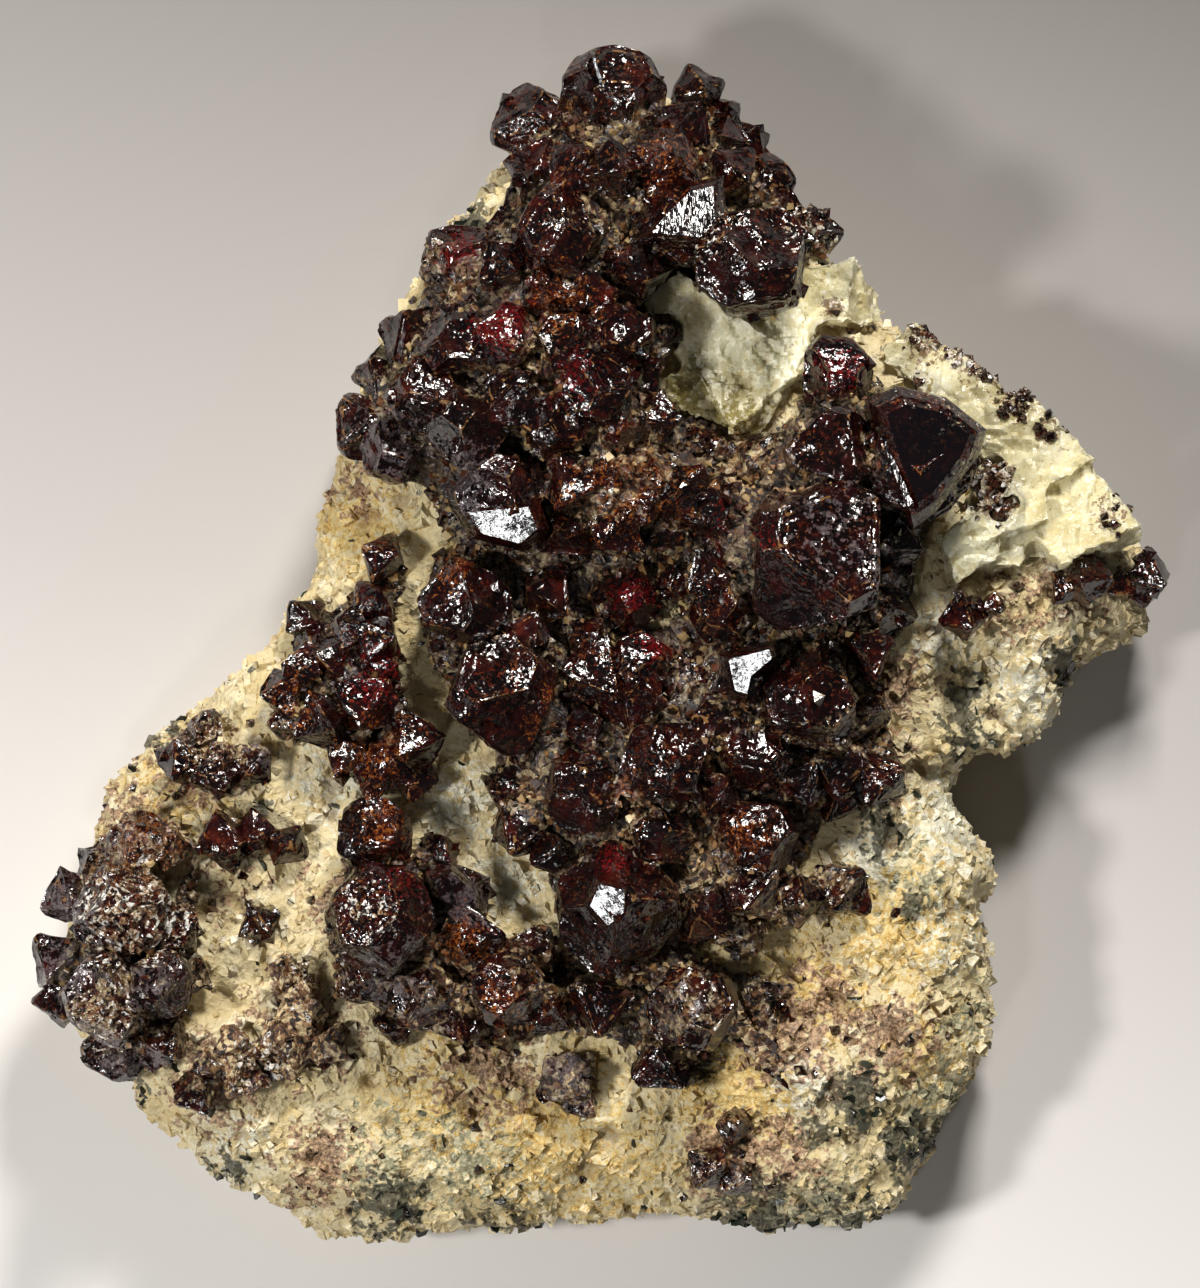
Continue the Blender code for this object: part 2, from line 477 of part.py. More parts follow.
def cut_off(bm, normal, distance):
    """Cleaves a closed mesh along a plane and closes the cut."""
    geom = bm.verts[:] + bm.edges[:] + bm.faces[:]
    bmesh.ops.bisect_plane(bm, geom=geom, plane_co=normal * distance, plane_no=normal, clear_outer=True)
    rim = [e for e in bm.edges if e.is_boundary]
    if rim:
        bmesh.ops.holes_fill(bm, edges=rim, sides=0)


OCTAHEDRON_NORMALS = [Vector((x, y, z)).normalized() for x in (-1, 1) for y in (-1, 1) for z in (-1, 1)]
CUBE_NORMALS = [Vector((0, 0, 1)), Vector((0, 0, -1)), Vector((0, 1, 0)), Vector((0, -1, 0)),
                Vector((1, 0, 0)), Vector((-1, 0, 0))]
OCTAHEDRON_FACE = 1 / math.sqrt(3)


def crystal_mesh(x, y, z, radius, turn, rng, extra=0.0):
    """An uneven octahedron. A large one has its corners trimmed by cube faces."""
    bm = bmesh.new()
    bmesh.ops.create_cube(bm, size=4 * radius)
    for normal in OCTAHEDRON_NORMALS:
        cut_off(bm, normal, radius * OCTAHEDRON_FACE * rng.uniform(*OCTAHEDRON_SHARES) + extra)
    for normal in CUBE_NORMALS:
        share = rng.uniform(*CUBE_SHARES)
        if radius >= TRIMMED_RADIUS:
            cut_off(bm, normal, radius * share + extra)
    bm.transform(Matrix.Translation((x, y, z)) @ turn.to_matrix().to_4x4())
    return bm


def turn_of(tip, rng):
    """The crystal's turn: the one stated, in degrees, or any turn at all."""
    anyhow = [rng.uniform(-FREE_TILT, FREE_TILT), rng.uniform(-FREE_TILT, FREE_TILT), rng.uniform(0, 90)]
    return Euler([math.radians(a) for a in (tip or anyhow)])


def crystal_meshes(group, extra=0.0):
    """A mesh for each crystal of a group, standing on its crust."""
    rng = random.Random(group.seed)
    made = []
    for x, y, radius, rise, tip in group.crystals:
        turn = turn_of(tip, rng)
        z = crust_height(x, y, group) + rise
        made.append(crystal_mesh(x, y, z, radius, turn, rng, extra))
    return made


def block_mesh(x, y, a, b, c, rise, turn, tip):
    """A calcite cleavage block: a cube sheared into a rhomb, with half lengths a, b and c."""
    bm = bmesh.new()
    bmesh.ops.create_cube(bm, size=2)
    bmesh.ops.scale(bm, vec=(a, b, c), verts=bm.verts)
    for vert in bm.verts:
        vert.co.x += vert.co.y * CLEAVAGE_SHEAR[0]
        vert.co.y += vert.co.z * CLEAVAGE_SHEAR[1]
    spin = Euler((math.radians(tip[0]), math.radians(tip[1]), math.radians(turn)))
    bm.transform(Matrix.Translation((x, y, rock_height(x, y) + rise)) @ spin.to_matrix().to_4x4())
    return bm


def boolean(obj, operation, others):
    """Adds one exact Boolean with all the solids of a collection."""
    modifier = obj.modifiers.new(operation.lower(), "BOOLEAN")
    modifier.operation = operation
    modifier.solver = "EXACT"
    modifier.operand_type = "COLLECTION"
    modifier.collection = others


def tools_collection(name, meshes):
    """Helper solids that a Boolean reads and no render shows."""
    made = new_collection(name, shown=False)
    for i, bm in enumerate(meshes):
        object_from(bm, f"{name}_{i:03d}", made, shown=False)
    return made


def connected(start):
    """All the vertices that can be reached along edges from one."""
    found = {start}
    waiting = [start]
    while waiting:
        vert = waiting.pop()
        fresh = [e.other_vert(vert) for e in vert.link_edges]
        fresh = [v for v in fresh if v not in found]
        found.update(fresh)
        waiting.extend(fresh)
    return found


def apply_modifiers(body):
    """Replaces an object's mesh with the one that its modifiers make."""
    graph = bpy.context.evaluated_depsgraph_get()
    mesh = bpy.data.meshes.new_from_object(body.evaluated_get(graph))
    body.modifiers.clear()
    body.data = mesh
    return mesh


def keep_largest(body):
    """Applies the Booleans, drops the crumbs and closed pockets that they leave, and thins out the corners."""
    mesh = apply_modifiers(body)
    bm = bmesh.new()
    bm.from_mesh(mesh)
    left = set(bm.verts)
    pieces = []
    while left:
        pieces.append(connected(next(iter(left))))
        left -= pieces[-1]
    largest = max(pieces, key=len)
    bmesh.ops.delete(bm, geom=[v for v in bm.verts if v not in largest], context="VERTS")
    bmesh.ops.triangulate(bm, faces=bm.faces)
    bm.to_mesh(mesh)
    bm.free()
    thinner = body.modifiers.new("thinner", "DECIMATE")
    thinner.ratio = KEPT_SHARE
    apply_modifiers(body)


def crystal_group(group, material, shown, rock_cutter):
    """One solid: a crust with all its crystals, cut where it meets the rock."""
    body = object_from(crust_mesh(group), group.name, shown, material)
    boolean(body, "UNION", tools_collection(group.name + "_tools", crystal_meshes(group)))
    boolean(body, "DIFFERENCE", rock_cutter)
    keep_largest(body)


def calcite_body(bed, blocks, material, shown, rock_cutter, crystal_cutters):
    """One solid of grown-together cleavage blocks, cut round the rock and the crystals."""
    body = object_from(crust_mesh(bed), bed.name, shown, material)
    boolean(body, "UNION", tools_collection(bed.name + "_tools", [block_mesh(*block) for block in blocks]))
    boolean(body, "DIFFERENCE", crystal_cutters)
    boolean(body, "DIFFERENCE", rock_cutter)
    keep_largest(body)


def near(crystal, bed):
    """True if a crystal can touch a calcite body."""
    middle = sum((Vector(p) for p in bed.edge), Vector((0, 0))) / len(bed.edge)
    return (Vector(crystal[:2]) - middle).length - crystal[2] < CALCITE_REACH


def calcite_cutters(bed, groups):
    """Every crystal that can touch a calcite body, with its crust, grown by the gap."""
    meshes = []
    for group in groups:
        pairs = zip(crystal_meshes(group, extra=GAP), group.crystals)
        close = [mesh for mesh, crystal in pairs if near(crystal, bed)]
        if close:
            meshes += close + [grown(crust_mesh(group), GAP)]
    return tools_collection(bed.name + "_cutters", meshes)


def build():
    clear_scene()
    shown = new_collection("pyrochlore_in_matrix")
    materials = {
        "matrix": new_material("matrix", (0.62, 0.56, 0.36), 0.85),
        "pyrochlore": new_material("pyrochlore", (0.075, 0.014, 0.010), 0.18),
        "altered_pyrochlore": new_material("altered_pyrochlore", (0.24, 0.15, 0.11), 0.5),
        "calcite": new_material("calcite", (0.70, 0.69, 0.46), 0.3),
    }
    object_from(rock_mesh(), "matrix", shown, materials["matrix"])
    rock_cutter = tools_collection("rock_cutter", [grown(rock_mesh(), GAP)])
    groups = [Group("pyrochlore_mass", "pyrochlore", MASS_CRUST, MASS_EDGE, MASS_CRYSTALS, MASS_BUMPS, MASS_SEED)]
    groups += [Group(*row, [], GROUP_SEED + i) for i, row in enumerate(GROUPS)]
    for group in groups:
        crystal_group(group, materials[group.material], shown, rock_cutter)
    for i, (name, edge, blocks) in enumerate(CALCITE):
        bed = Group(name, "calcite", CALCITE_BED, edge, [], [], CALCITE_SEED + i)
        calcite_body(bed, blocks, materials[bed.material], shown, rock_cutter, calcite_cutters(bed, groups))


build()
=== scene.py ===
"""Looks of the pyrochlore specimen: broken rock, glassy dark crystals and translucent calcite."""

import json
import math
import random

import bmesh
import bpy
import numpy as np
from mathutils import Euler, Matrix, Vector, noise
from mathutils.bvhtree import BVHTree


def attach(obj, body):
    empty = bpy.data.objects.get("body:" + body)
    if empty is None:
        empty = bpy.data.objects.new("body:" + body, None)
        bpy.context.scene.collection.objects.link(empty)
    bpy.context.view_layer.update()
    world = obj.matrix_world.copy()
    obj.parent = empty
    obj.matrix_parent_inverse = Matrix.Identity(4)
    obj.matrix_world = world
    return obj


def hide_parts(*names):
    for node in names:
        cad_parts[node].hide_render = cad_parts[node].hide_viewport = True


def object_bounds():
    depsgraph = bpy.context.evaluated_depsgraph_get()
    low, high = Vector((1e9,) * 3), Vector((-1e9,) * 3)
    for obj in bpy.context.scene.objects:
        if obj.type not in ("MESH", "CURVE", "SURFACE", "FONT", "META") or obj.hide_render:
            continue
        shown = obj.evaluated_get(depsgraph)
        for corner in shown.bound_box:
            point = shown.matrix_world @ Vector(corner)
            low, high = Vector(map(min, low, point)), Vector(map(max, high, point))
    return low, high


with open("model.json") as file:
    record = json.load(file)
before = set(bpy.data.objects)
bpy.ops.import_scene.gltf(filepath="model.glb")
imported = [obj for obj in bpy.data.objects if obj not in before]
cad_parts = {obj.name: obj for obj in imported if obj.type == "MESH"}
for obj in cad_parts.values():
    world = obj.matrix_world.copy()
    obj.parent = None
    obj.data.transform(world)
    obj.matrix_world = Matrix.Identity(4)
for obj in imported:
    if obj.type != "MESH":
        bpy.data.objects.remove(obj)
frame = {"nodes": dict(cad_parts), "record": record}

MM = 0.001
CAD_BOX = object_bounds()

# Vector noise has to start from a seed of its own, or it differs from run to run
NOISE_SEED = 1
noise.seed_set(NOISE_SEED)

# Camera: straight above, framing the photographed width
VIEW_WIDTH = 110.4
VIEW_CENTRE = (0.28, 0.0)
VIEW_LEVEL = 16.0
CAMERA_DISTANCE = 640.0
SENSOR_WIDTH = 36.0
CLIP_START = 10.0

# Lights: place and size in millimetres, power in watts
KEY_PLACE, KEY_SIZE, KEY_POWER = (70, 320, 310), 80, 2.1
SECOND_PLACE, SECOND_SIZE, SECOND_POWER = (-330, -60, 420), 60, 1.75
FRONT_PLACE, FRONT_SIZE, FRONT_POWER = (-140, -300, 480), 46, 0.29
UNLIT_PLACE = (260, -120, 480)
KEY_COLOUR, SECOND_COLOUR, FRONT_COLOUR = (1.0, 0.97, 0.92), (1.0, 0.98, 0.95), (1.0, 1.0, 1.0)
LIGHT_AIM_LEVEL = 12.0
SKY_COLOUR, SKY_STRENGTH = (0.80, 0.82, 0.86), 0.04

# Floor: painted shade, its colour darkening over a reach on both sides of the specimen, along a slant
FLOOR_HALF_SIZE = 1200.0
FLOOR_SHADE_REACH, FLOOR_SHADE_SLANT = 75.0, 0.2
FLOOR_ROUGHNESS = 0.7

# Rock surface
ROCK_LEVELS = 3
GRAIN_SIZE, GRAIN_RELIEF = 1.7, 0.42
FINE_GRAIN_SIZE, FINE_GRAIN_RELIEF = 0.75, 0.18
GRAIN_GAP_MOST = 0.8
LUMP_SIZE, LUMP_RELIEF, LUMP_MIDDLE = 4.5, 0.75, 0.45
PIT_SIZE, PIT_DEPTH, PIT_START = 2.6, 2.2, 0.28
BASE_CLEAR = 1.2
SIDE_TOP, SWAY = 12.5, 0.4
LOOSE_GRAINS = 7000
LOOSE_GRAIN_SIZE = (0.2, 0.5)
LOOSE_GRAIN_LOWEST_SLOPE = -0.7
LOOSE_GRAIN_SINK = 0.25
GRAIN_CRYSTAL_TRIES, GRAIN_CRYSTAL_SIZE = 6000, (0.25, 0.8)
GRAIN_CRYSTAL_STRAY_CHANCE, GRAIN_CRYSTAL_PATCH_CHANCE = 0.015, 0.6
MICA_TRIES, MICA_SIZE = 8000, (0.3, 0.95)
MICA_STRAY_CHANCE, MICA_PATCH_CHANCE = 0.02, 0.5

# Seeds of the random draws for each kind of small shape
GRAIN_SEED, MICA_SEED, GRAIN_CRYSTAL_SEED, DRUSE_SEED, GAP_GRAIN_SEED, CRUMB_SEED = 3, 4, 5, 6, 7, 8
KEPT_SEED_SHIFT = 10

# Crystal faces
WELD_DISTANCE = 0.0001
FACE_JOIN_ANGLE = 5.0
SHARP_EDGE = 0.45
STEP_HEIGHT = (0.05, 0.16)
STEP_WIDTH = (0.2, 0.45)
STEP_ROUNDS = 3
STEP_KINDS = 5
STEP_CHANCE = 0.75
STEP_LEAST_BREADTH = 0.5
CRYSTAL_CUT, CUT_ROUNDS = 0.76, 8
BEDDED_SLOPE = -0.3
TERRACE_SIZE, TERRACE_HEIGHT = 2.2, 0.07
CHIP_SIZE, CHIP_RELIEF = 0.8, 0.36
WARP_SIZE, WARP_RELIEF = 2.8, 0.14
CRUMBLE_SIZE = 4.2
ALTERED_CRUMBLE = 0.35
WEAR = 0.35
DRUSE_TRIES, DRUSE_SIZE = 4500, (0.3, 1.0)
DRUSE_LOWEST_SLOPE = 0.1
GAP_GRAIN_TRIES, GAP_GRAIN_SIZE = 13000, (0.12, 0.38)
GAP_GRAIN_PATCH_SIZE = 5.0
NEARBY = 3.0
LOW_DEPTH, LOW_START = 2.2, 0.2
FLAT_FACE_LIFT = 0.15

# Looks of the crystals: sizes and depths in millimetres, shares from 0 to 1
RUBBLE_CELL_SHARE, RUBBLE_FINE_SHARE = 0.55, 0.45
CRUST_GRAIN, SHARD_GRAIN, FINE_GRAIN = 0.5, 0.6, 0.35
LOW_WEIGHT, WORN_WEIGHT = 0.36, 0.36
DULL_FROM, DULL_TO, ALTERED_SHIFT = 0.68, 0.95, 0.2
CRUST_SHARE, SHARD_SHARE, FLAT_FACE_SHARE = 0.88, 0.85, 0.88
GLASSY_ROUGHNESS, DULL_ROUGHNESS = 0.12, 0.75
PYROCHLORE_IOR, CALCITE_IOR = 1.75, 1.6
GLITTER_CELL, FLAT_FACE_GLITTER = 0.32, 0.28
STRIPE_STRETCH, STRIPE_DEPTH = (1.0, 0.16, 0.3), 0.5

# Calcite
CALCITE_VOXEL = 0.32
CALCITE_LUMP, CALCITE_LUMP_RELIEF = 3.4, 0.7
CLEAVAGE_SIZE, CLEAVAGE_STEP = 2.4, 0.28
CLEAVAGE_WAYS = [Vector((1.0, 0.35, 0.3)), Vector((-0.4, 1.0, 0.2))]
CALCITE_SHARP = 28.0
CALCITE_SMOOTHING, CALCITE_SMOOTHING_ROUNDS = 0.5, 3
CALCITE_MILKINESS, CALCITE_MILK_REACH, CALCITE_MILK_COLOUR = 0.5, 1.6, (1.0, 0.98, 0.88)
CALCITE_GLITTER_CELL = 0.9
CRUMB_TRIES, CRUMB_SIZE = 5000, (0.2, 0.7)

OCTAHEDRON = [(1, 0, 0), (-1, 0, 0), (0, 1, 0), (0, -1, 0), (0, 0, 1), (0, 0, -1)]
OCTAHEDRON_FACES = [
    (0, 2, 4), (2, 1, 4), (1, 3, 4), (3, 0, 4), (2, 0, 5), (1, 2, 5), (3, 1, 5), (0, 3, 5),
]
BLOCK = [(x, y, z) for x in (-1, 1) for y in (-1, 1) for z in (-1, 1)]
BLOCK_FACES = [(0, 1, 3, 2), (4, 6, 7, 5), (0, 4, 5, 1), (2, 3, 7, 6), (0, 2, 6, 4), (1, 5, 7, 3)]
FLAKE = [(math.cos(a * math.pi / 3), math.sin(a * math.pi / 3), z) for z in (-0.12, 0.12) for a in range(6)]
FLAKE_FACES = [(5, 4, 3, 2, 1, 0), (6, 7, 8, 9, 10, 11)]
FLAKE_FACES += [(i, (i + 1) % 6, (i + 1) % 6 + 6, i + 6) for i in range(6)]

SLOTS = {part["node"]: part["material_slot"] for part in frame["record"]["subparts"]}
CRYSTAL_NODES = sorted(n for n in SLOTS if SLOTS[n] in ("pyrochlore", "altered_pyrochlore"))
CALCITE_NODES = sorted(n for n in SLOTS if SLOTS[n] == "calcite")

# Coloured patches of the rock: kind, x, y, radius, strength
ROCK_PATCHES = [
    ("brown", 12, -47, 5, 1.0), ("brown", 17.5, -47, 4, 0.8), ("brown", -25.5, -48, 4.5, 0.9),
    ("brown", 18, -36, 6, 0.9), ("brown", 27, -36, 5, 0.9), ("brown", -10, -39.5, 5.5, 0.9),
    ("brown", -35, -40, 5, 0.9), ("brown", -27, -35, 6, 0.7), ("brown", -37, -12, 5, 0.7),
    ("brown", -24, -23, 4, 0.5), ("brown", -34, -22, 4, 0.5), ("brown", 27, -4, 4.5, 0.8),
    ("brown", 26, -12, 4, 0.7), ("brown", -22, 14, 3, 0.6), ("brown", 38, 4, 4, 0.5),
    ("brown", -43, -16, 4, 0.7), ("brown", 44, 6, 4, 0.8), ("brown", 21, -33, 5, 0.8),
    ("yellow", 13, -40, 7, 1.0), ("yellow", 20, -32, 6, 0.8), ("yellow", -22, 11, 5, 0.9),
    ("yellow", -5, -46, 9, 0.7), ("yellow", -38, -14, 6, 0.6), ("yellow", 28, -26, 7, 0.8),
    ("yellow", -14, -42, 7, 0.6), ("yellow", 30, -38, 6, 0.6), ("yellow", 0, -50, 10, 0.5),
    ("dark", -19, -51.5, 3.5, 1.0), ("dark", 24, -42, 3.5, 1.0), ("dark", 28, -46, 3.5, 1.0),
    ("dark", 31, -47, 3, 0.9), ("dark", 21, -44, 2.5, 0.8), ("dark", 26, -17.5, 2.5, 1.0),
    ("dark", 25.5, -15, 2, 0.9), ("dark", 34, -5, 3, 0.9), ("dark", 43, -2, 2, 1.0),
    ("dark", 34, -9, 2.5, 0.7), ("dark", -34, -49, 2.5, 0.7), ("dark", -44, -41, 3, 0.9),
    ("dark", -12, 39, 3, 0.8), ("dark", -13.5, 36.5, 2, 0.7), ("dark", 29, -24, 2, 0.8),
    # The dark places on the lower side, at y -54, are black mica and painted shade of that side
    ("dark", -40, -8.5, 2, 0.7), ("dark", -31, -15.5, 1.8, 0.8), ("dark", 14, -54, 5, 0.9),
    ("dark", 24, -54, 4, 0.8), ("dark", -8, -55, 4, 0.6), ("dark", 9, -38, 2, 0.7),
    ("green", -12, -48, 5, 0.6), ("green", 20, -52, 5, 0.6), ("green", 32, -42, 4, 0.7),
    ("green", 29, -22, 4, 0.6), ("green", 34, -34, 3.5, 0.5), ("green", -20, -47, 5, 0.5),
    ("pale", 33, -16, 5, 0.9), ("pale", 19, -40, 3, 1.0), ("pale", -13, -15, 4, 0.8),
    ("pale", -8, -22, 4, 0.7), ("pale", 32, 1, 4, 0.7), ("pale", 40, -4, 5, 0.6),
    ("pale", -24, -13, 4, 0.6), ("pale", 25, -20, 3, 0.9), ("pale", -34, -46, 4, 0.6),
    ("pale", 33, -27, 4, 0.5),
]

# Coloured and crumbling places of the crystals: kind, x, y, radius, strength
CRYSTAL_PATCHES = [
    # Glint places: painted glints of orange light inside the crystals
    ("amber", -3.7, -5, 1.8, 1.0), ("amber", -5.5, -7.2, 1.4, 0.9), ("amber", 13.5, -17.5, 2.6, 0.8),
    ("amber", -12.5, -27, 2.6, 0.9), ("amber", -8, -32.5, 3, 0.7), ("amber", -19.5, -16, 3, 0.8),
    ("amber", -3, 31.5, 3.5, 0.6), ("amber", 7, 44, 3.0, 0.6), ("amber", -13.5, 6.5, 2.5, 0.7),
    ("amber", 3, 14.5, 6, 0.6), ("amber", -20.5, -10, 4, 0.6), ("amber", -28, -5, 3, 0.5),
    ("amber", -41.5, -17.5, 5, 0.7), ("amber", 30, 16, 3, 0.4), ("amber", 3, -14, 2.5, 0.5),
    # Glint places: painted glints of crimson light inside the crystals
    ("red", -12.5, 35.5, 2.2, 1.0), ("red", -8.5, 29, 3.2, 1.0), ("red", 3.5, 4.5, 2.6, 0.8),
    ("red", 1.5, -19.7, 1.8, 0.75), ("red", 5.5, 0, 2.2, 0.8), ("red", -17.5, -21, 3, 0.6),
    ("red", 22, 25, 3, 0.6), ("red", -20, -3, 3.5, 0.6), ("red", -2, 24, 3, 0.5), ("red", 13, 10, 3, 0.5),
    # Sheen places: painted sheen of soft light on crystal faces
    ("grey", -49, -24, 3, 0.8), ("grey", -48.5, -30, 3.2, 0.9), ("grey", -40.5, -31, 3.4, 0.9),
    ("grey", -43.5, -38, 3.2, 0.9), ("grey", -12.5, -23.5, 3, 1.0), ("grey", -19, -31, 4, 0.7),
    ("grey", -18.5, 18, 4, 0.6), ("grey", -12, 15, 3.6, 0.8), ("grey", 26.5, 6.7, 2.4, 0.9),
    ("grey", -2.5, -38.5, 3.6, 0.9), ("grey", 22, 10, 6, 0.35), ("grey", -29.5, -10, 3, 0.5),
    # These places are crumbly grains; their palest colour is partly painted sparkle
    ("silver", -42, -24.5, 5.5, 1.0), ("silver", -44, -34, 4, 0.6), ("silver", -31, -38.5, 3, 0.9),
    ("silver", -26, -30, 4, 0.5), ("silver", -21, -24, 3, 0.5), ("silver", 19, 38, 2.5, 0.7),
    ("silver", 21.5, 35.5, 2, 0.8), ("silver", 9.5, 37, 2.5, 0.4), ("silver", -35, -9, 3, 0.5),
    ("silver", 36.5, 13.7, 4, 1.0), ("silver", 33, 26.5, 6, 0.8),
    ("worn", -33.5, -7, 6, 1.0), ("worn", -42, -19, 7, 0.8), ("worn", -44, -33, 7, 0.8),
    ("worn", -30, -34, 8, 1.0), ("worn", 15, 16.5, 4.5, 0.9), ("worn", 3, 15, 6, 0.6),
    ("worn", -6, 27, 3.5, 0.6), ("worn", -22, 25, 5, 0.5), ("worn", 24, -7, 5, 0.7), 
    ("worn", 10, -20, 5, 0.6), ("worn", 20, -31, 8, 0.9), ("worn", -14, -32, 5, 0.6),
    ("worn", 14, 41, 4, 0.5), ("worn", -7, -14, 4, 0.5), ("worn", 12, -6, 3, 0.4), ("worn", -15, 35, 4, 0.8),
    ("worn", 3, -15, 3, 0.7), ("worn", 17, -27, 6, 1.0), ("worn", 8, -33, 5, 0.8), ("worn", -2, -38, 4, 1.0),
    ("worn", -16, -34, 5, 0.7), ("worn", 22, -22, 4, 0.7), ("worn", -5, -31, 4, 0.8), ("worn", 0, 38, 3, 0.7),
    ("worn", 15.5, -37, 4.5, 1.0),
]

# Coloured places of the calcite: kind, x, y, radius, strength
CALCITE_PATCHES = [
    ("olive", 8.1, 23.7, 2.8, 1.0), ("olive", 12.7, 20.1, 3.6, 1.0), ("olive", 29, 25, 2.5, 0.5),
    # Lit places: milky calcite, partly painted light where the upper calcite lies in shade
    ("white", 12.7, 27.2, 3.2, 1.0), ("white", 16.8, 26.5, 4.6, 0.9), ("white", 34, 8.6, 3.5, 0.9),
    ("white", 22, 32, 2.5, 0.6), ("brown", 21.7, 31.1, 1.2, 1.0), ("brown", 30.6, 28, 3, 0.7),
    ("brown", 35.7, 26, 3, 0.8), ("brown", 38.5, 22.8, 2.5, 0.8), ("brown", 28, 22.6, 2.6, 0.8),
    ("brown", 47, 12, 2, 0.6), ("brown", 30, 12, 2, 0.5), ("brown", 36.5, 15.2, 1.8, 1.0),
    ("brown", 36.2, 12.6, 1.8, 1.0), ("brown", 33, 27.5, 2.5, 0.6), ("brown", 41, 20, 2, 0.5),
]

# Flat crystal faces: name, outline, the place whose light each one throws at the camera, how striped it is
# and how polished it is. A face that throws back the unlit place stays dark.
FLAT_FACES = [
    ("bright_face_left", [(-11.7, 11.9), (-6.2, 12.4), (-5.4, 10.4), (-7.0, 9.1), (-10.4, 10.0)],
     FRONT_PLACE, 0.0, 1.0),
    ("bright_face_middle", [(11.9, -1.4), (15.5, -0.5), (15.8, -1.3), (13.9, -2.9), (13.6, -4.5),
                            (12.5, -4.2)], FRONT_PLACE, 0.0, 1.0),
    ("bright_face_lower", [(0.2, -21.6), (2.5, -22.2), (2.4, -24.2), (1.0, -25.4), (-0.6, -23.6)],
     FRONT_PLACE, 0.0, 1.0),
    ("bright_face_crown", [(10.5, 41.3), (8.4, 40.8), (6.2, 38.6), (4.9, 37.0), (9.4, 36.6), (10.6, 38.0)],
     KEY_PLACE, 1.0, 1.0),
    ("bright_edge_crown", [(-0.4, 53.4), (-0.1, 53.4), (0.9, 49.8), (0.6, 49.6)], FRONT_PLACE, 0.3, 1.0),
    ("bright_edge_right", [(25.3, 20.3), (25.7, 20.4), (26.8, 16.3), (28.4, 12.7), (28.0, 12.4),
                           (26.4, 16.0)], SECOND_PLACE, 1.0, 1.0),
    ("dark_face_right", [(26.0, 20.6), (27.8, 21.5), (30.9, 20.8), (33.5, 18.8), (32.9, 17.1), (30.3, 13.7),
                         (28.9, 12.7), (27.3, 16.3)], UNLIT_PLACE, 0.0, 1.0),
    ("grey_face_band", [(-14.8, -21.4), (-13.2, -20.9), (-11.2, -22.6), (-11.0, -24.0), (-12.6, -24.2),
                        (-14.4, -23.0)], UNLIT_PLACE, 0.0, 0.25),
    ("grey_face_corner_upper", [(-41.9, -29.6), (-39.4, -29.4), (-38.6, -31.2), (-40.2, -32.8),
                                (-42.0, -31.6)], UNLIT_PLACE, 0.0, 0.25),
]
# Rings of a flat face's sides: how far each flares out, and how far below the face it lies
FLAT_FACE_FLARE = [(1.0, 0.0), (1.22, 0.7), (1.45, 2.2), (1.5, 4.0)]


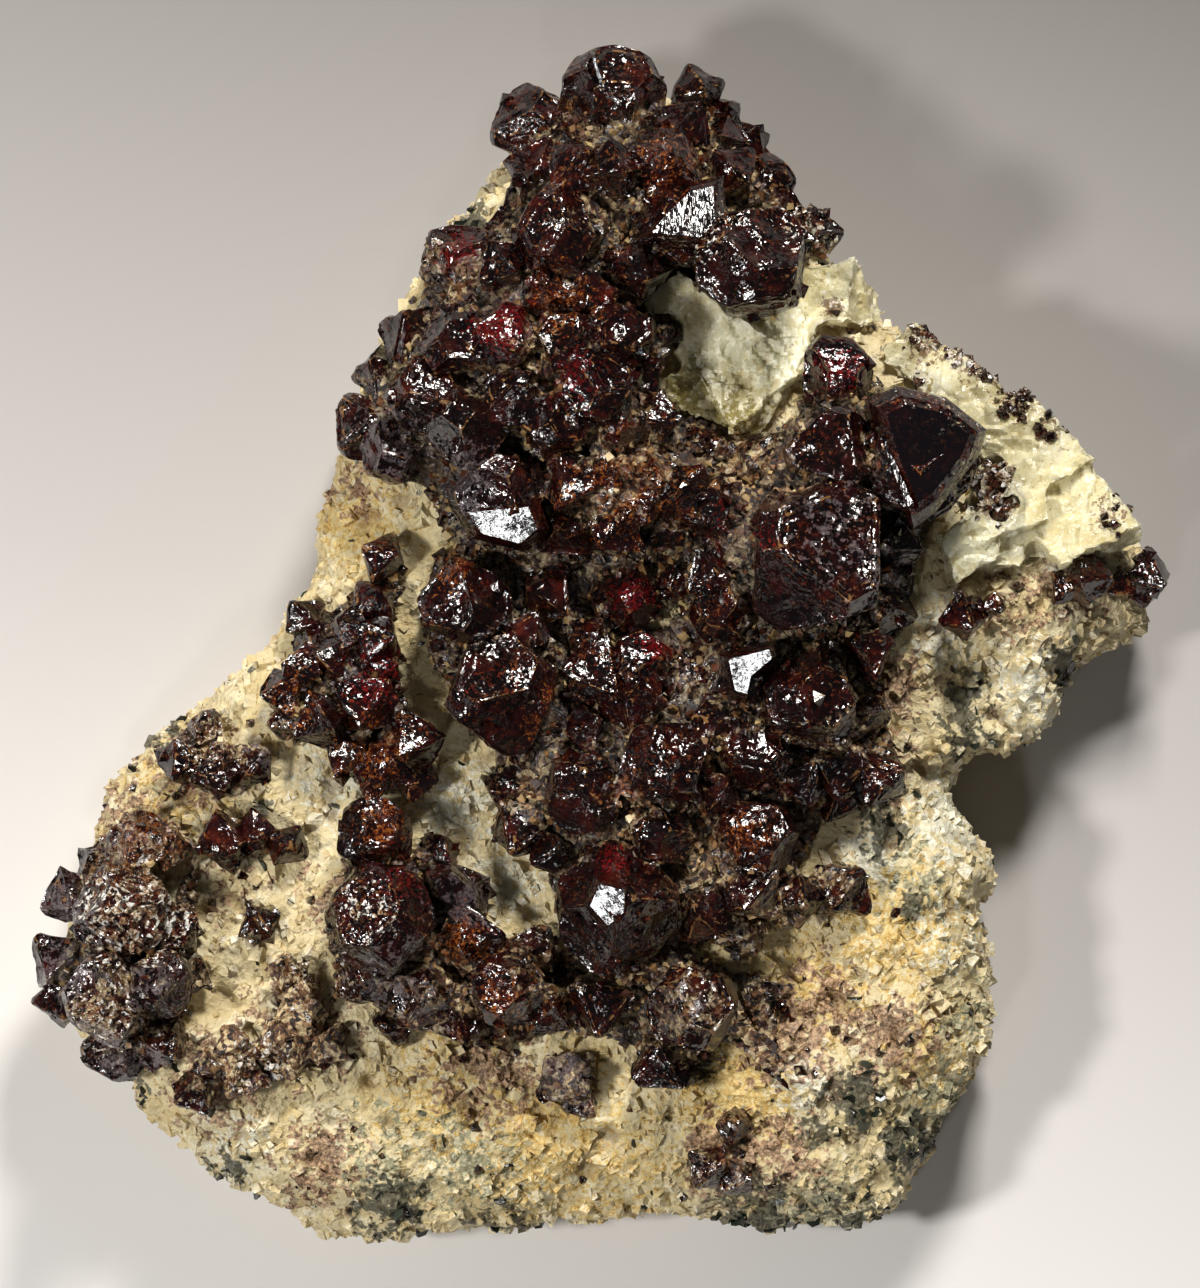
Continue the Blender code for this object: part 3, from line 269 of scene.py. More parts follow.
class Shader:
    """A node tree with a Principled shader, and short ways to add nodes to it."""

    def __init__(self, name):
        self.material = bpy.data.materials.new(name)
        self.material.use_nodes = True
        self.tree = self.material.node_tree
        self.main = self.tree.nodes["Principled BSDF"]
        self.place = self.add("ShaderNodeTexCoord").outputs["Object"]

    def add(self, kind, **settings):
        """A new node with its settings."""
        node = self.tree.nodes.new(kind)
        for key, value in settings.items():
            setattr(node, key, value)
        return node

    def put(self, node, key, value):
        """Sets an input to a value, or links it to a socket."""
        if isinstance(value, bpy.types.NodeSocket):
            self.tree.links.new(value, node.inputs[key])
        elif isinstance(value, tuple) and len(value) == 3 and node.inputs[key].type == "RGBA":
            node.inputs[key].default_value = (*value, 1)
        else:
            node.inputs[key].default_value = value

    def noise(self, size, detail=4.0, roughness=0.6, distortion=0.0, stretch=None):
        """Noise with lumps of a size in millimetres."""
        node = self.add("ShaderNodeTexNoise")
        place = self.place
        if stretch:
            mapping = self.add("ShaderNodeMapping")
            mapping.inputs["Scale"].default_value = stretch
            self.put(mapping, "Vector", place)
            place = mapping.outputs["Vector"]
        self.put(node, "Vector", place)
        self.put(node, "Scale", 1 / (size * MM))
        self.put(node, "Detail", detail)
        self.put(node, "Roughness", roughness)
        self.put(node, "Distortion", distortion)
        return node.outputs["Fac"]

    def cells(self, size, output="Color"):
        """Cells of a size in millimetres, each with a shade of its own or a distance to its middle."""
        node = self.add("ShaderNodeTexVoronoi")
        self.put(node, "Vector", self.place)
        self.put(node, "Scale", 1 / (size * MM))
        return node.outputs[output]

    def ramp(self, value, stops):
        """Colours along a value. A stop is a position and a colour."""
        node = self.add("ShaderNodeValToRGB")
        elements = node.color_ramp.elements
        while len(elements) < len(stops):
            elements.new(0.5)
        for element, (position, colour) in zip(elements, stops):
            element.position = position
            element.color = (*colour, 1)
        self.put(node, "Fac", value)
        return node.outputs["Color"]

    def span(self, value, low, high, to_low=0.0, to_high=1.0):
        """A value moved from one range to another, and kept in it."""
        node = self.add("ShaderNodeMapRange")
        self.put(node, "Value", value)
        self.put(node, "From Min", low)
        self.put(node, "From Max", high)
        self.put(node, "To Min", to_low)
        self.put(node, "To Max", to_high)
        return node.outputs["Result"]

    def mix(self, share, first, second):
        """Two colours mixed by a share."""
        node = self.add("ShaderNodeMix", data_type="RGBA")
        self.put(node, 0, share)
        self.put(node, 6, first)
        self.put(node, 7, second)
        return node.outputs[2]

    def math(self, operation, first, second):
        """One operation on two numbers."""
        node = self.add("ShaderNodeMath", operation=operation)
        self.put(node, 0, first)
        self.put(node, 1, second)
        return node.outputs[0]

    def mask(self, name):
        """A number stored on the mesh."""
        return self.add("ShaderNodeAttribute", attribute_name=name).outputs["Fac"]

    def broken(self, name, size, spread=0.55):
        """A stored number with a ragged edge."""
        ragged = self.span(self.noise(size, 2.0, 0.8), 0.3, 0.7, -spread, spread)
        share = self.span(self.math("ADD", self.mask(name), ragged), 0.42, 0.62)
        return self.math("MULTIPLY", share, self.span(self.mask(name), 0.0, 0.08))

    def bump(self, height, depth, normal=None, strength=1.0):
        """Relief of a depth in millimetres."""
        node = self.add("ShaderNodeBump")
        self.put(node, "Strength", strength)
        self.put(node, "Distance", depth * MM)
        self.put(node, "Height", height)
        if normal:
            self.put(node, "Normal", normal)
        return node.outputs["Normal"]


def vector_sum(s, first, second):
    """Two vectors added."""
    node = s.add("ShaderNodeVectorMath", operation="ADD")
    s.put(node, 0, first)
    s.put(node, 1, second)
    return node.outputs["Vector"]


def glitter(s, size, amount):
    """Surface directions turned at random, cell by cell, as on finely broken crystal."""
    centred = vector_sum(s, s.cells(size), (-0.5, -0.5, -0.5))
    scaled = s.add("ShaderNodeVectorMath", operation="SCALE")
    s.put(scaled, 0, centred)
    s.put(scaled, "Scale", amount)
    normal = s.add("ShaderNodeNewGeometry").outputs["Normal"]
    turned = s.add("ShaderNodeVectorMath", operation="NORMALIZE")
    s.put(turned, 0, vector_sum(s, normal, scaled.outputs["Vector"]))
    return turned.outputs["Vector"]


def rubble(s, size, fine):
    """A number that is nearly even within each small grain and differs from grain to grain."""
    grains = s.math("MULTIPLY", s.cells(size), RUBBLE_CELL_SHARE)
    return s.math("ADD", grains, s.math("MULTIPLY", fine, RUBBLE_FINE_SHARE))


def srgb(r, g, b):
    """A colour from its 0 to 255 screen values."""
    return tuple(((c / 255 + 0.055) / 1.055) ** 2.4 if c > 10 else c / 255 / 12.92 for c in (r, g, b))


def rock_colour(s, grain_tone):
    """Cream rock with yellow, pale, green, brown and dark patches, and painted shade in its pits and between
    its grains.
    """
    speck = s.ramp(s.cells(0.6), [
        (0.0, srgb(156, 120, 84)), (0.10, srgb(216, 196, 148)), (0.8, srgb(236, 223, 182)),
        (1.0, srgb(250, 245, 222)),
    ])
    colour = s.mix(0.5, grain_tone, speck)
    colour = s.mix(s.span(s.noise(5.0, 3.0), 0.40, 0.68, 0.0, 0.55), colour, srgb(196, 170, 108))
    kinds = [
        ("yellow", (196, 156, 70), (228, 204, 138)), ("pale", (214, 210, 184), (246, 244, 228)),
        ("green", (112, 112, 88), (182, 180, 148)), ("brown", (74, 38, 30), (196, 158, 126)),
        ("dark", (18, 20, 16), (96, 96, 80)),
    ]
    fine = s.noise(0.45, 2.0, 0.8)
    for index, (kind, darkest, lightest) in enumerate(kinds):
        shade = s.ramp(fine, [(0.40, srgb(*darkest)), (0.62, srgb(*lightest))])
        colour = s.mix(s.math("MULTIPLY", s.broken(kind, 0.8 + 0.2 * index, 0.8), 0.85), colour, shade)
    # Painted shade: darker and browner in pits and between grains.
    colour = s.mix(s.span(s.mask("pit"), 0.25, 1.0, 0.0, 0.55), colour, srgb(120, 92, 60))
    return s.mix(s.span(s.noise(0.8, 3.0, 0.7), 0.66, 0.71, 0.0, 0.85), colour, srgb(90, 64, 48))


def rock_finish(s, colour):
    """Colour, roughness and fine relief, the same for the slab and its loose grains."""
    s.put(s.main, "Base Color", colour)
    s.put(s.main, "Roughness", s.span(s.noise(0.6, 2.0), 0.3, 0.7, 0.42, 0.8))
    relief = s.bump(s.noise(0.4, 2.0, 0.8), 0.18)
    s.put(s.main, "Normal", s.bump(s.cells(0.6, "Distance"), 0.16, relief))
    return s.material


def rock_material():
    """The slab, with a tone of its own for each grain."""
    s = Shader("rock")
    tone = s.ramp(s.cells(1.5), [
        (0.0, srgb(202, 180, 122)), (0.25, srgb(220, 204, 158)), (0.5, srgb(210, 194, 150)),
        (0.75, srgb(234, 224, 190)), (1.0, srgb(180, 162, 124)),
    ])
    return rock_finish(s, rock_colour(s, tone))


def grain_material():
    """Loose grains of the rock, each with its own tone."""
    s = Shader("rock_grains")
    tone = s.ramp(s.mask("tint"), [
        (0.0, srgb(150, 112, 78)), (0.06, srgb(196, 172, 114)), (0.3, srgb(226, 210, 168)),
        (0.6, srgb(216, 204, 168)), (0.85, srgb(240, 232, 206)), (1.0, srgb(248, 244, 232)),
    ])
    return rock_finish(s, rock_colour(s, tone))


def crystal_material(name, altered):
    """Glassy maroon crystal. Its colour holds painted shade in the deepest hollows, painted glints of light
    inside the crystal, painted sheen on some faces and a partly painted highlight along sharp edges. An
    altered one is duller and browner.
    """
    s = Shader(name)
    deep = s.ramp(s.noise(2.6, 4.0, 0.65), [
        (0.30, srgb(4, 1, 2)), (0.48, srgb(12, 4, 5)), (0.60, srgb(36, 9, 8)), (0.78, srgb(78, 25, 14)),
    ])
    # Flecks: the crystal's mottled colour, and partly painted glints of light inside it.
    fleck_tone = s.ramp(s.noise(1.4, 3.0), [
        (0.35, srgb(84, 18, 14)), (0.50, srgb(118, 46, 24)), (0.62, srgb(158, 92, 50)),
        (0.75, srgb(182, 146, 100)),
    ])
    patchy = s.span(s.noise(9.0, 2.0), 0.38, 0.6, 0.3, 1.0)
    fleck_share = s.math("MULTIPLY", s.span(s.noise(0.5, 3.0, 0.85), 0.53, 0.72, 0.0, 0.85), patchy)
    colour = s.mix(fleck_share, deep, fleck_tone)
    worn = s.math("MULTIPLY", s.mask("worn"), WORN_WEIGHT)
    low = s.math("MULTIPLY", s.mask("low"), LOW_WEIGHT)
    weather = s.math("ADD", low, s.math("ADD", worn, s.noise(2.0, 4.0, 0.78)))
    dull = s.span(weather, DULL_FROM - ALTERED_SHIFT * altered, DULL_TO - ALTERED_SHIFT * altered)
    fine = s.noise(FINE_GRAIN, 2.0, 0.8)
    crust = s.ramp(rubble(s, CRUST_GRAIN, fine), [
        (0.38, srgb(26, 9, 4)), (0.46, srgb(98, 54, 30)), (0.54, srgb(158, 116, 72)),
        (0.64, srgb(230, 206, 158)),
    ])
    colour = s.mix(s.math("MULTIPLY", dull, CRUST_SHARE), colour, crust)
    # Pale tan along sharp outer edges: worn edges, and partly a painted highlight along them.
    rim_wear_and_glint = s.math("MULTIPLY", s.mask("edge"), s.span(s.noise(0.9, 3.0, 0.78), 0.46, 0.62))
    colour = s.mix(s.span(rim_wear_and_glint, 0.35, 0.8, 0.0, 0.7), colour, srgb(158, 114, 70))
    kinds = [
        # Sheen places: painted sheen of soft light on the faces
        ("grey", [(0.4, srgb(58, 50, 52)), (0.6, srgb(124, 112, 114))], 1.0, 0.6),
        # Glint places: painted glints of light inside the crystal
        ("red", [(0.4, srgb(44, 4, 7)), (0.65, srgb(132, 14, 20))], 0.5, 0.6),
        ("amber", [(0.42, srgb(34, 10, 6)), (0.53, srgb(104, 38, 16)), (0.63, srgb(196, 118, 48))], 0.9, 0.5),
    ]
    for kind, shades, size, most in kinds:
        share = s.math("MULTIPLY", s.broken(kind, size, 0.75), most)
        colour = s.mix(share, colour, s.ramp(fine, shades))
    # Crumbs of the silver places, tan to palest: pale grains, partly painted sparkle.
    shards = s.ramp(rubble(s, SHARD_GRAIN, fine), [
        (0.38, srgb(30, 10, 10)), (0.46, srgb(88, 34, 22)), (0.53, srgb(136, 98, 66)),
        (0.60, srgb(206, 188, 158)), (0.66, srgb(255, 252, 246)),
    ])
    colour = s.mix(s.math("MULTIPLY", s.broken("silver", SHARD_GRAIN, 0.75), SHARD_SHARE), colour, shards)
    # Painted shade: the colour darkens to near black in the deepest hollows between the crystals.
    colour = s.mix(s.span(s.mask("low"), 0.55, 1.0, 0.0, 0.6), colour, srgb(10, 5, 4))
    flat = s.span(s.mask("mirror"), 0.0, 1.0, 0.0, FLAT_FACE_SHARE)
    s.put(s.main, "Base Color", s.mix(flat, colour, srgb(13, 10, 14)))
    sparkling = s.span(s.mask("silver"), 0.0, 0.6)
    rough = s.span(s.math("SUBTRACT", dull, sparkling), 0.0, 1.0, GLASSY_ROUGHNESS, DULL_ROUGHNESS)
    s.put(s.main, "Roughness", rough)
    s.put(s.main, "IOR", PYROCHLORE_IOR)
    strength = s.span(s.mask("mirror"), 0.0, 1.0, 1.0, FLAT_FACE_GLITTER)
    broken = s.math("ADD", s.math("MULTIPLY", dull, 0.4), s.span(s.noise(3.0, 3.0), 0.4, 0.65, 0.1, 0.5))
    normal = glitter(s, GLITTER_CELL, s.math("MULTIPLY", strength, s.math("ADD", broken, sparkling)))
    relief = s.bump(s.noise(1.1, 2.0, 0.5), 0.05, normal, strength)
    stripes = s.noise(0.9, 3.0, 0.6, 0.0, STRIPE_STRETCH)
    relief = s.bump(stripes, STRIPE_DEPTH, relief, s.mask("striped"))
    relief = s.bump(s.noise(0.6, 3.0, 0.78), 0.4, relief, dull)
    s.put(s.main, "Normal", s.bump(s.noise(0.35, 2.0, 0.75), 0.05, relief, strength))
    return s.material


def calcite_material():
    """Pale yellow, milky calcite, olive in its clear places, brighter in places as partly painted light, and
    browned at its edges.
    """
    s = Shader("calcite")
    colour = s.ramp(s.noise(4.5, 3.0, 0.6), [
        (0.30, srgb(206, 190, 136)), (0.46, srgb(222, 210, 164)), (0.60, srgb(230, 221, 182)),
        (0.80, srgb(240, 234, 206)),
    ])
    # The lit places are milky calcite, partly painted light on the shaded upper calcite.
    kinds = [
        ("olive", srgb(134, 118, 48), 1.6, 0.85), ("white", srgb(252, 245, 210), 1.2, 0.9),
        ("brown", srgb(122, 84, 54), 0.6, 0.8),
    ]
    for kind, shade, size, most in kinds:
        colour = s.mix(s.math("MULTIPLY", s.broken(kind, size, 0.6), most), colour, shade)
    colour = s.mix(s.span(s.noise(0.9, 2.0, 0.75), 0.66, 0.72, 0.0, 0.6), colour, srgb(128, 96, 58))
    colour = s.mix(s.span(s.noise(0.5, 2.0, 0.75), 0.56, 0.66, 0.0, 0.6), colour, srgb(242, 240, 222))
    s.put(s.main, "Base Color", colour)
    s.put(s.main, "Roughness", s.span(s.noise(1.0), 0.3, 0.7, 0.16, 0.5))
    s.put(s.main, "IOR", CALCITE_IOR)
    s.put(s.main, "Subsurface Weight", CALCITE_MILKINESS)
    s.put(s.main, "Subsurface Radius", CALCITE_MILK_COLOUR)
    s.put(s.main, "Subsurface Scale", CALCITE_MILK_REACH * MM)
    broken = s.span(s.mask("white"), 0.0, 1.0, 0.25, 0.5)
    relief = s.bump(s.noise(1.5, 3.0, 0.65), 0.22, glitter(s, CALCITE_GLITTER_CELL, broken))
    s.put(s.main, "Normal", s.bump(s.noise(0.4, 2.0, 0.75), 0.08, relief))
    return s.material


def gap_grain_material():
    """Grains of rock and broken crystal in the gaps between the crystals."""
    s = Shader("gap_grains")
    dark = s.ramp(s.mask("tint"), [
        (0.0, srgb(30, 12, 8)), (0.4, srgb(86, 44, 24)), (0.7, srgb(128, 96, 58)), (1.0, srgb(186, 162, 112)),
    ])
    pale = s.ramp(s.mask("tint"), [
        (0.0, srgb(70, 36, 22)), (0.3, srgb(138, 98, 60)), (0.7, srgb(194, 162, 112)),
        (1.0, srgb(240, 222, 180)),
    ])
    s.put(s.main, "Base Color", s.mix(s.span(s.mask("worn"), 0.2, 0.7), dark, pale))
    s.put(s.main, "Roughness", s.span(s.noise(0.6), 0.3, 0.7, 0.2, 0.6))
    s.put(s.main, "Normal", s.bump(s.noise(0.3, 3.0), 0.06))
    return s.material


def mica_material():
    """Dark green to black flakes."""
    s = Shader("mica")
    colour = s.ramp(s.mask("tint"), [
        (0.0, srgb(16, 18, 14)), (0.6, srgb(38, 46, 36)), (1.0, srgb(88, 88, 76)),
    ])
    s.put(s.main, "Base Color", colour)
    s.put(s.main, "Roughness", s.span(s.noise(0.5), 0.3, 0.7, 0.15, 0.35))
    s.put(s.main, "Normal", s.bump(s.noise(0.4), 0.03))
    return s.material


def floor_material():
    """A pale floor whose colour darkens from front to back, as painted shade."""
    s = Shader("floor")
    split = s.add("ShaderNodeSeparateXYZ")
    s.put(split, "Vector", s.place)
    across = s.math("MULTIPLY", split.outputs["X"], FLOOR_SHADE_SLANT)
    along = s.span(s.math("ADD", split.outputs["Y"], across), -FLOOR_SHADE_REACH * MM, FLOOR_SHADE_REACH * MM)
    # Painted shade: palest at the front, darkest at the back.
    tone = s.ramp(along, [(0.0, srgb(252, 249, 246)), (0.5, srgb(190, 186, 183)), (1.0, srgb(114, 110, 107))])
    s.put(s.main, "Base Color", tone)
    s.put(s.main, "Roughness", FLOOR_ROUGHNESS)
    return s.material


class Relief:
    """The CAD surface seen from above, on a grid, with its height averaged nearby."""

    CELL = 0.7

    def __init__(self):
        points, faces = [], []
        for node in SLOTS:
            mesh = frame["nodes"][node].data
            start = len(points)
            points += [v.co.copy() for v in mesh.vertices]
            faces += [[start + i for i in polygon.vertices] for polygon in mesh.polygons]
        self.tree = BVHTree.FromPolygons(points, faces)
        low, high = CAD_BOX
        self.corner = (low.x / MM - self.CELL, low.y / MM - self.CELL)
        columns = int((high.x - low.x) / MM / self.CELL) + 3
        rows = int((high.y - low.y) / MM / self.CELL) + 3
        self.top = np.zeros((rows, columns))
        for row in range(rows):
            for column in range(columns):
                self.top[row, column] = self.height(
                    self.corner[0] + column * self.CELL, self.corner[1] + row * self.CELL)
        self.average = self.blurred(self.top, round(NEARBY / self.CELL))

    def height(self, x, y):
        """The top surface at a place, in millimetres."""
        hit = self.tree.ray_cast(Vector((x, y, 100)) * MM, Vector((0, 0, -1)))[0]
        return hit.z / MM if hit else 0.0

    @staticmethod
    def blurred(values, reach):
        """Values averaged over a square, rows first and then columns."""
        for axis in (0, 1):
            stack = [np.roll(values, shift, axis) for shift in range(-reach, reach + 1)]
            values = sum(stack) / len(stack)
        return values

    def lowness(self, points):
        """How far points in millimetres lie below what is around them, from 0 to 1."""
        columns = np.round((points[:, 0] - self.corner[0]) / self.CELL).astype(int)
        rows = np.round((points[:, 1] - self.corner[1]) / self.CELL).astype(int)
        rows = np.clip(rows, 0, self.average.shape[0] - 1)
        columns = np.clip(columns, 0, self.average.shape[1] - 1)
        return np.clip((self.average[rows, columns] - points[:, 2]) / LOW_DEPTH + LOW_START, 0, 1)


def swayed(points):
    """The points' x and y, shifted more and more down the sides, so that no patch runs straight down."""
    x, y, z = points.T
    depth = SWAY * np.clip(SIDE_TOP - z, 0, None)
    return x + depth * np.sin(z / 2.1 + y / 5), y + depth * np.cos(z / 2.6 + x / 5)


def patch_strength(patches, kind, points):
    """The strength of one kind of patch at points in millimetres."""
    strength = np.zeros(len(points))
    across, along = swayed(points)
    for name, x, y, radius, most in patches:
        if name == kind:
            away = np.hypot(across - x, along - y) / radius
            strength = np.maximum(strength, most * np.clip(1.25 - away, 0, 1))
    return strength


def points_of(mesh):
    """A mesh's points in millimetres."""
    flat = np.zeros(len(mesh.vertices) * 3)
    mesh.vertices.foreach_get("co", flat)
    return flat.reshape(-1, 3) / MM


def store(mesh, name, values, domain="POINT"):
    """Keeps a number for each point or face on a mesh."""
    attribute = mesh.attributes.new(name, "FLOAT", domain)
    attribute.data.foreach_set("value", np.asarray(values, dtype=np.float32))


def store_patches(mesh, patches):
    """Keeps the strength of each kind of patch on a mesh."""
    points = points_of(mesh)
    for kind in sorted({patch[0] for patch in patches}):
        store(mesh, kind, patch_strength(patches, kind, points))


def mesh_from_node(name):
    """A welded copy of a CAD node's mesh."""
    bm = bmesh.new()
    bm.from_mesh(frame["nodes"][name].data)
    bmesh.ops.remove_doubles(bm, verts=bm.verts, dist=WELD_DISTANCE * MM)
    return bm


def kept_in_box(bm):
    """Moves points that stand out of the CAD box back onto it."""
    low, high = CAD_BOX
    for vert in bm.verts:
        for axis in range(3):
            if not low[axis] <= vert.co[axis] <= high[axis]:
                vert.co[axis] = max(low[axis], min(high[axis], vert.co[axis]))


def piece_from(source, name, material):
    """A new visible piece from a bmesh or a mesh."""
    mesh = source
    if isinstance(source, bmesh.types.BMesh):
        kept_in_box(source)
        mesh = bpy.data.meshes.new(name)
        source.to_mesh(mesh)
        source.free()
    mesh.materials.clear()
    mesh.materials.append(material)
    piece = bpy.data.objects.new(name, mesh)
    bpy.context.scene.collection.objects.link(piece)
    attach(piece, "root")
    return piece


def evaluated(bm, add_modifiers):
    """A bmesh after modifiers."""
    mesh = bpy.data.meshes.new("coarse")
    bm.to_mesh(mesh)
    bm.free()
    carrier = bpy.data.objects.new("coarse", mesh)
    bpy.context.scene.collection.objects.link(carrier)
    add_modifiers(carrier)
    fine = bmesh.new()
    fine.from_object(carrier, bpy.context.evaluated_depsgraph_get())
    bpy.data.objects.remove(carrier)
    bpy.data.meshes.remove(mesh)
    return fine


def add_subdivision(carrier):
    """Cuts the rock fine and round."""
    fine = carrier.modifiers.new("fine", "SUBSURF")
    fine.levels = ROCK_LEVELS
    fine.render_levels = ROCK_LEVELS


def add_remesh(carrier):
    """Makes an even mesh of a body."""
    remesh = carrier.modifiers.new("even", "REMESH")
    remesh.mode = "VOXEL"
    remesh.voxel_size = CALCITE_VOXEL * MM


def fine_cut(bm, longest):
    """Splits the edges longer than a length in millimetres, except on the faces bedded in the rock."""
    bmesh.ops.triangulate(bm, faces=bm.faces)
    for _ in range(CUT_ROUNDS):
        bm.normal_update()
        long_edges = [
            e for e in bm.edges
            if e.calc_length() > longest * MM and any(f.normal.z > BEDDED_SLOPE for f in e.link_faces)
        ]
        if not long_edges:
            break
        bmesh.ops.subdivide_edges(bm, edges=long_edges, cuts=1)
        bmesh.ops.triangulate(bm, faces=[f for f in bm.faces if len(f.verts) > 3])


def smoothed(bm, factor):
    """Moves each point part of the way to the middle of its neighbours."""
    bmesh.ops.smooth_vert(
        bm, verts=bm.verts, factor=factor, use_axis_x=True, use_axis_y=True, use_axis_z=True)


def rock_relief(p):
    """How far the rock stands out at a point in millimetres, and how deep it lies in pits and between grains,
    which sets painted shade there.
    """
    near = noise.voronoi(p / GRAIN_SIZE)[0]
    fine = noise.voronoi(p / FINE_GRAIN_SIZE)[0]
    lumps = noise.turbulence(p / LUMP_SIZE, 3, False) - LUMP_MIDDLE
    pit = max(0.0, noise.noise(p / PIT_SIZE + Vector((9, 4, 2))) - PIT_START)
    grains = min(GRAIN_GAP_MOST, near[1] - near[0]) * GRAIN_RELIEF
    grains += min(GRAIN_GAP_MOST, fine[1] - fine[0]) * FINE_GRAIN_RELIEF
    shade_between_grains = 0.6 * max(0.0, 0.35 - near[1] + near[0])
    return grains + lumps * LUMP_RELIEF - pit * PIT_DEPTH, pit * 3 + shade_between_grains


def build_rock(material):
    """The slab, cut fine and given its grain, lumps and pits. Its cut back stays flat."""
    bm = mesh_from_node("matrix")
    crease = bm.edges.layers.float.new("crease_edge")
    for edge in bm.edges:
        if max(v.co.z for v in edge.verts) < 1e-6:
            edge[crease] = 1.0
    bm = evaluated(bm, add_subdivision)
    bm.normal_update()
    pits = []
    for vert in bm.verts:
        p = vert.co / MM
        fade = min(1.0, max(0.0, p.z / BASE_CLEAR))
        shift, pit = rock_relief(p)
        vert.co += vert.normal * shift * fade * MM
        vert.co.z = max(0.0, vert.co.z)
        pits.append(pit)
    for face in bm.faces:
        face.smooth = True
    ground = bm.copy()
    rock = piece_from(bm, "rock", material)
    # The pit number sets painted shade in the rock's colour.
    store(rock.data, "pit", pits)
    store_patches(rock.data, ROCK_PATCHES)
    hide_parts("matrix")
    return ground


def spots_on(bm, count, seed, lowest_slope=-0.2):
    """Random places on a mesh, in millimetres and evenly by area, and the way the surface faces at each."""
    rng = np.random.default_rng(seed)
    faces = [f for f in bm.faces if f.normal.z > lowest_slope and f.calc_center_median().z > 2 * MM]
    sums = np.cumsum([f.calc_area() for f in faces])
    chosen = np.minimum(np.searchsorted(sums, rng.random(count) * sums[-1]), len(faces) - 1)
    corners = np.array([[v.co[:] for v in faces[i].verts[:3]] for i in chosen]) / MM
    normals = np.array([faces[i].normal[:] for i in chosen])
    cuts = np.sort(rng.random((count, 2)), axis=1)
    shares = np.stack([cuts[:, 0], cuts[:, 1] - cuts[:, 0], 1 - cuts[:, 1]], axis=1)
    return (corners * shares[:, :, None]).sum(axis=1), normals


def kept(places, chances, seed):
    """The places that are kept, each by its own chance."""
    rng = np.random.default_rng(seed + KEPT_SEED_SHIFT)
    return places[rng.random(len(places)) < chances]


class Heap:
    """Many small shapes joined in one mesh."""

    def __init__(self):
        self.points, self.faces, self.tints = [], [], []

    def add(self, shape, shape_faces, place, turn, size, jitter, rng):
        """Adds a shape, with its corners moved at random. Its place and size are in millimetres."""
        start = len(self.points)
        tint = rng.random()
        middle = Vector(place) * MM
        for corner in shape:
            moved = Vector(c + rng.uniform(-jitter, jitter) for c in corner)
            scaled = Vector(a * b for a, b in zip(moved, size)) * MM
            self.points.append(turn @ scaled + middle)
        for face in shape_faces:
            self.faces.append([start + i for i in face])
            self.tints.append(tint)

    def piece(self, name, material, patches=None):
        """The shapes as one piece, none of it outside the CAD box."""
        mesh = bpy.data.meshes.new(name)
        low, high = CAD_BOX
        inside = [tuple(max(a, min(b, c)) for a, b, c in zip(low, high, p)) for p in self.points]
        mesh.from_pydata(inside, [], self.faces)
        store(mesh, "tint", self.tints, "FACE")
        if patches:
            store_patches(mesh, patches)
        return piece_from(mesh, name, material)


def any_turn(rng):
    """A turn at random."""
    return Euler([rng.uniform(0, 2 * math.pi) for _ in range(3)]).to_matrix()


def build_loose_grains(ground, material):
    """Angular grains bedded in the rock."""
    rng = random.Random(GRAIN_SEED)
    heap = Heap()
    for place, normal in zip(*spots_on(ground, LOOSE_GRAINS, GRAIN_SEED, LOOSE_GRAIN_LOWEST_SLOPE)):
        size = rng.uniform(*LOOSE_GRAIN_SIZE) * rng.choice((1, 1, 1.6))
        shape = [size, size * rng.uniform(0.6, 1), size * rng.uniform(0.5, 0.9)]
        middle = place - normal * size * LOOSE_GRAIN_SINK
        heap.add(BLOCK, BLOCK_FACES, middle, any_turn(rng), shape, 0.3, rng)
    heap.piece("rock_grains", material, ROCK_PATCHES)


def build_mica(ground, material):
    """Dark flakes in the dark patches of the rock."""
    rng = random.Random(MICA_SEED)
    heap = Heap()
    places = spots_on(ground, MICA_TRIES, MICA_SEED)[0]
    chances = MICA_STRAY_CHANCE + MICA_PATCH_CHANCE * patch_strength(ROCK_PATCHES, "dark", places) ** 2
    for place in kept(places, chances, MICA_SEED):
        size = rng.uniform(*MICA_SIZE)
        heap.add(FLAKE, FLAKE_FACES, place, any_turn(rng), [size, size * 0.8, size], 0.08, rng)
    heap.piece("mica_flakes", material)


def build_grain_crystals(ground, material):
    """Small brown crystals in the brown patches of the rock."""
    rng = random.Random(GRAIN_CRYSTAL_SEED)
    heap = Heap()
    places = spots_on(ground, GRAIN_CRYSTAL_TRIES, GRAIN_CRYSTAL_SEED)[0]
    brown = patch_strength(ROCK_PATCHES, "brown", places)
    chances = GRAIN_CRYSTAL_STRAY_CHANCE + GRAIN_CRYSTAL_PATCH_CHANCE * brown ** 2
    for place in kept(places, chances, GRAIN_CRYSTAL_SEED):
        size = rng.uniform(*GRAIN_CRYSTAL_SIZE)
        heap.add(OCTAHEDRON, OCTAHEDRON_FACES, place, any_turn(rng), [size] * 3, 0.12, rng)
    heap.piece("grain_crystals", material)


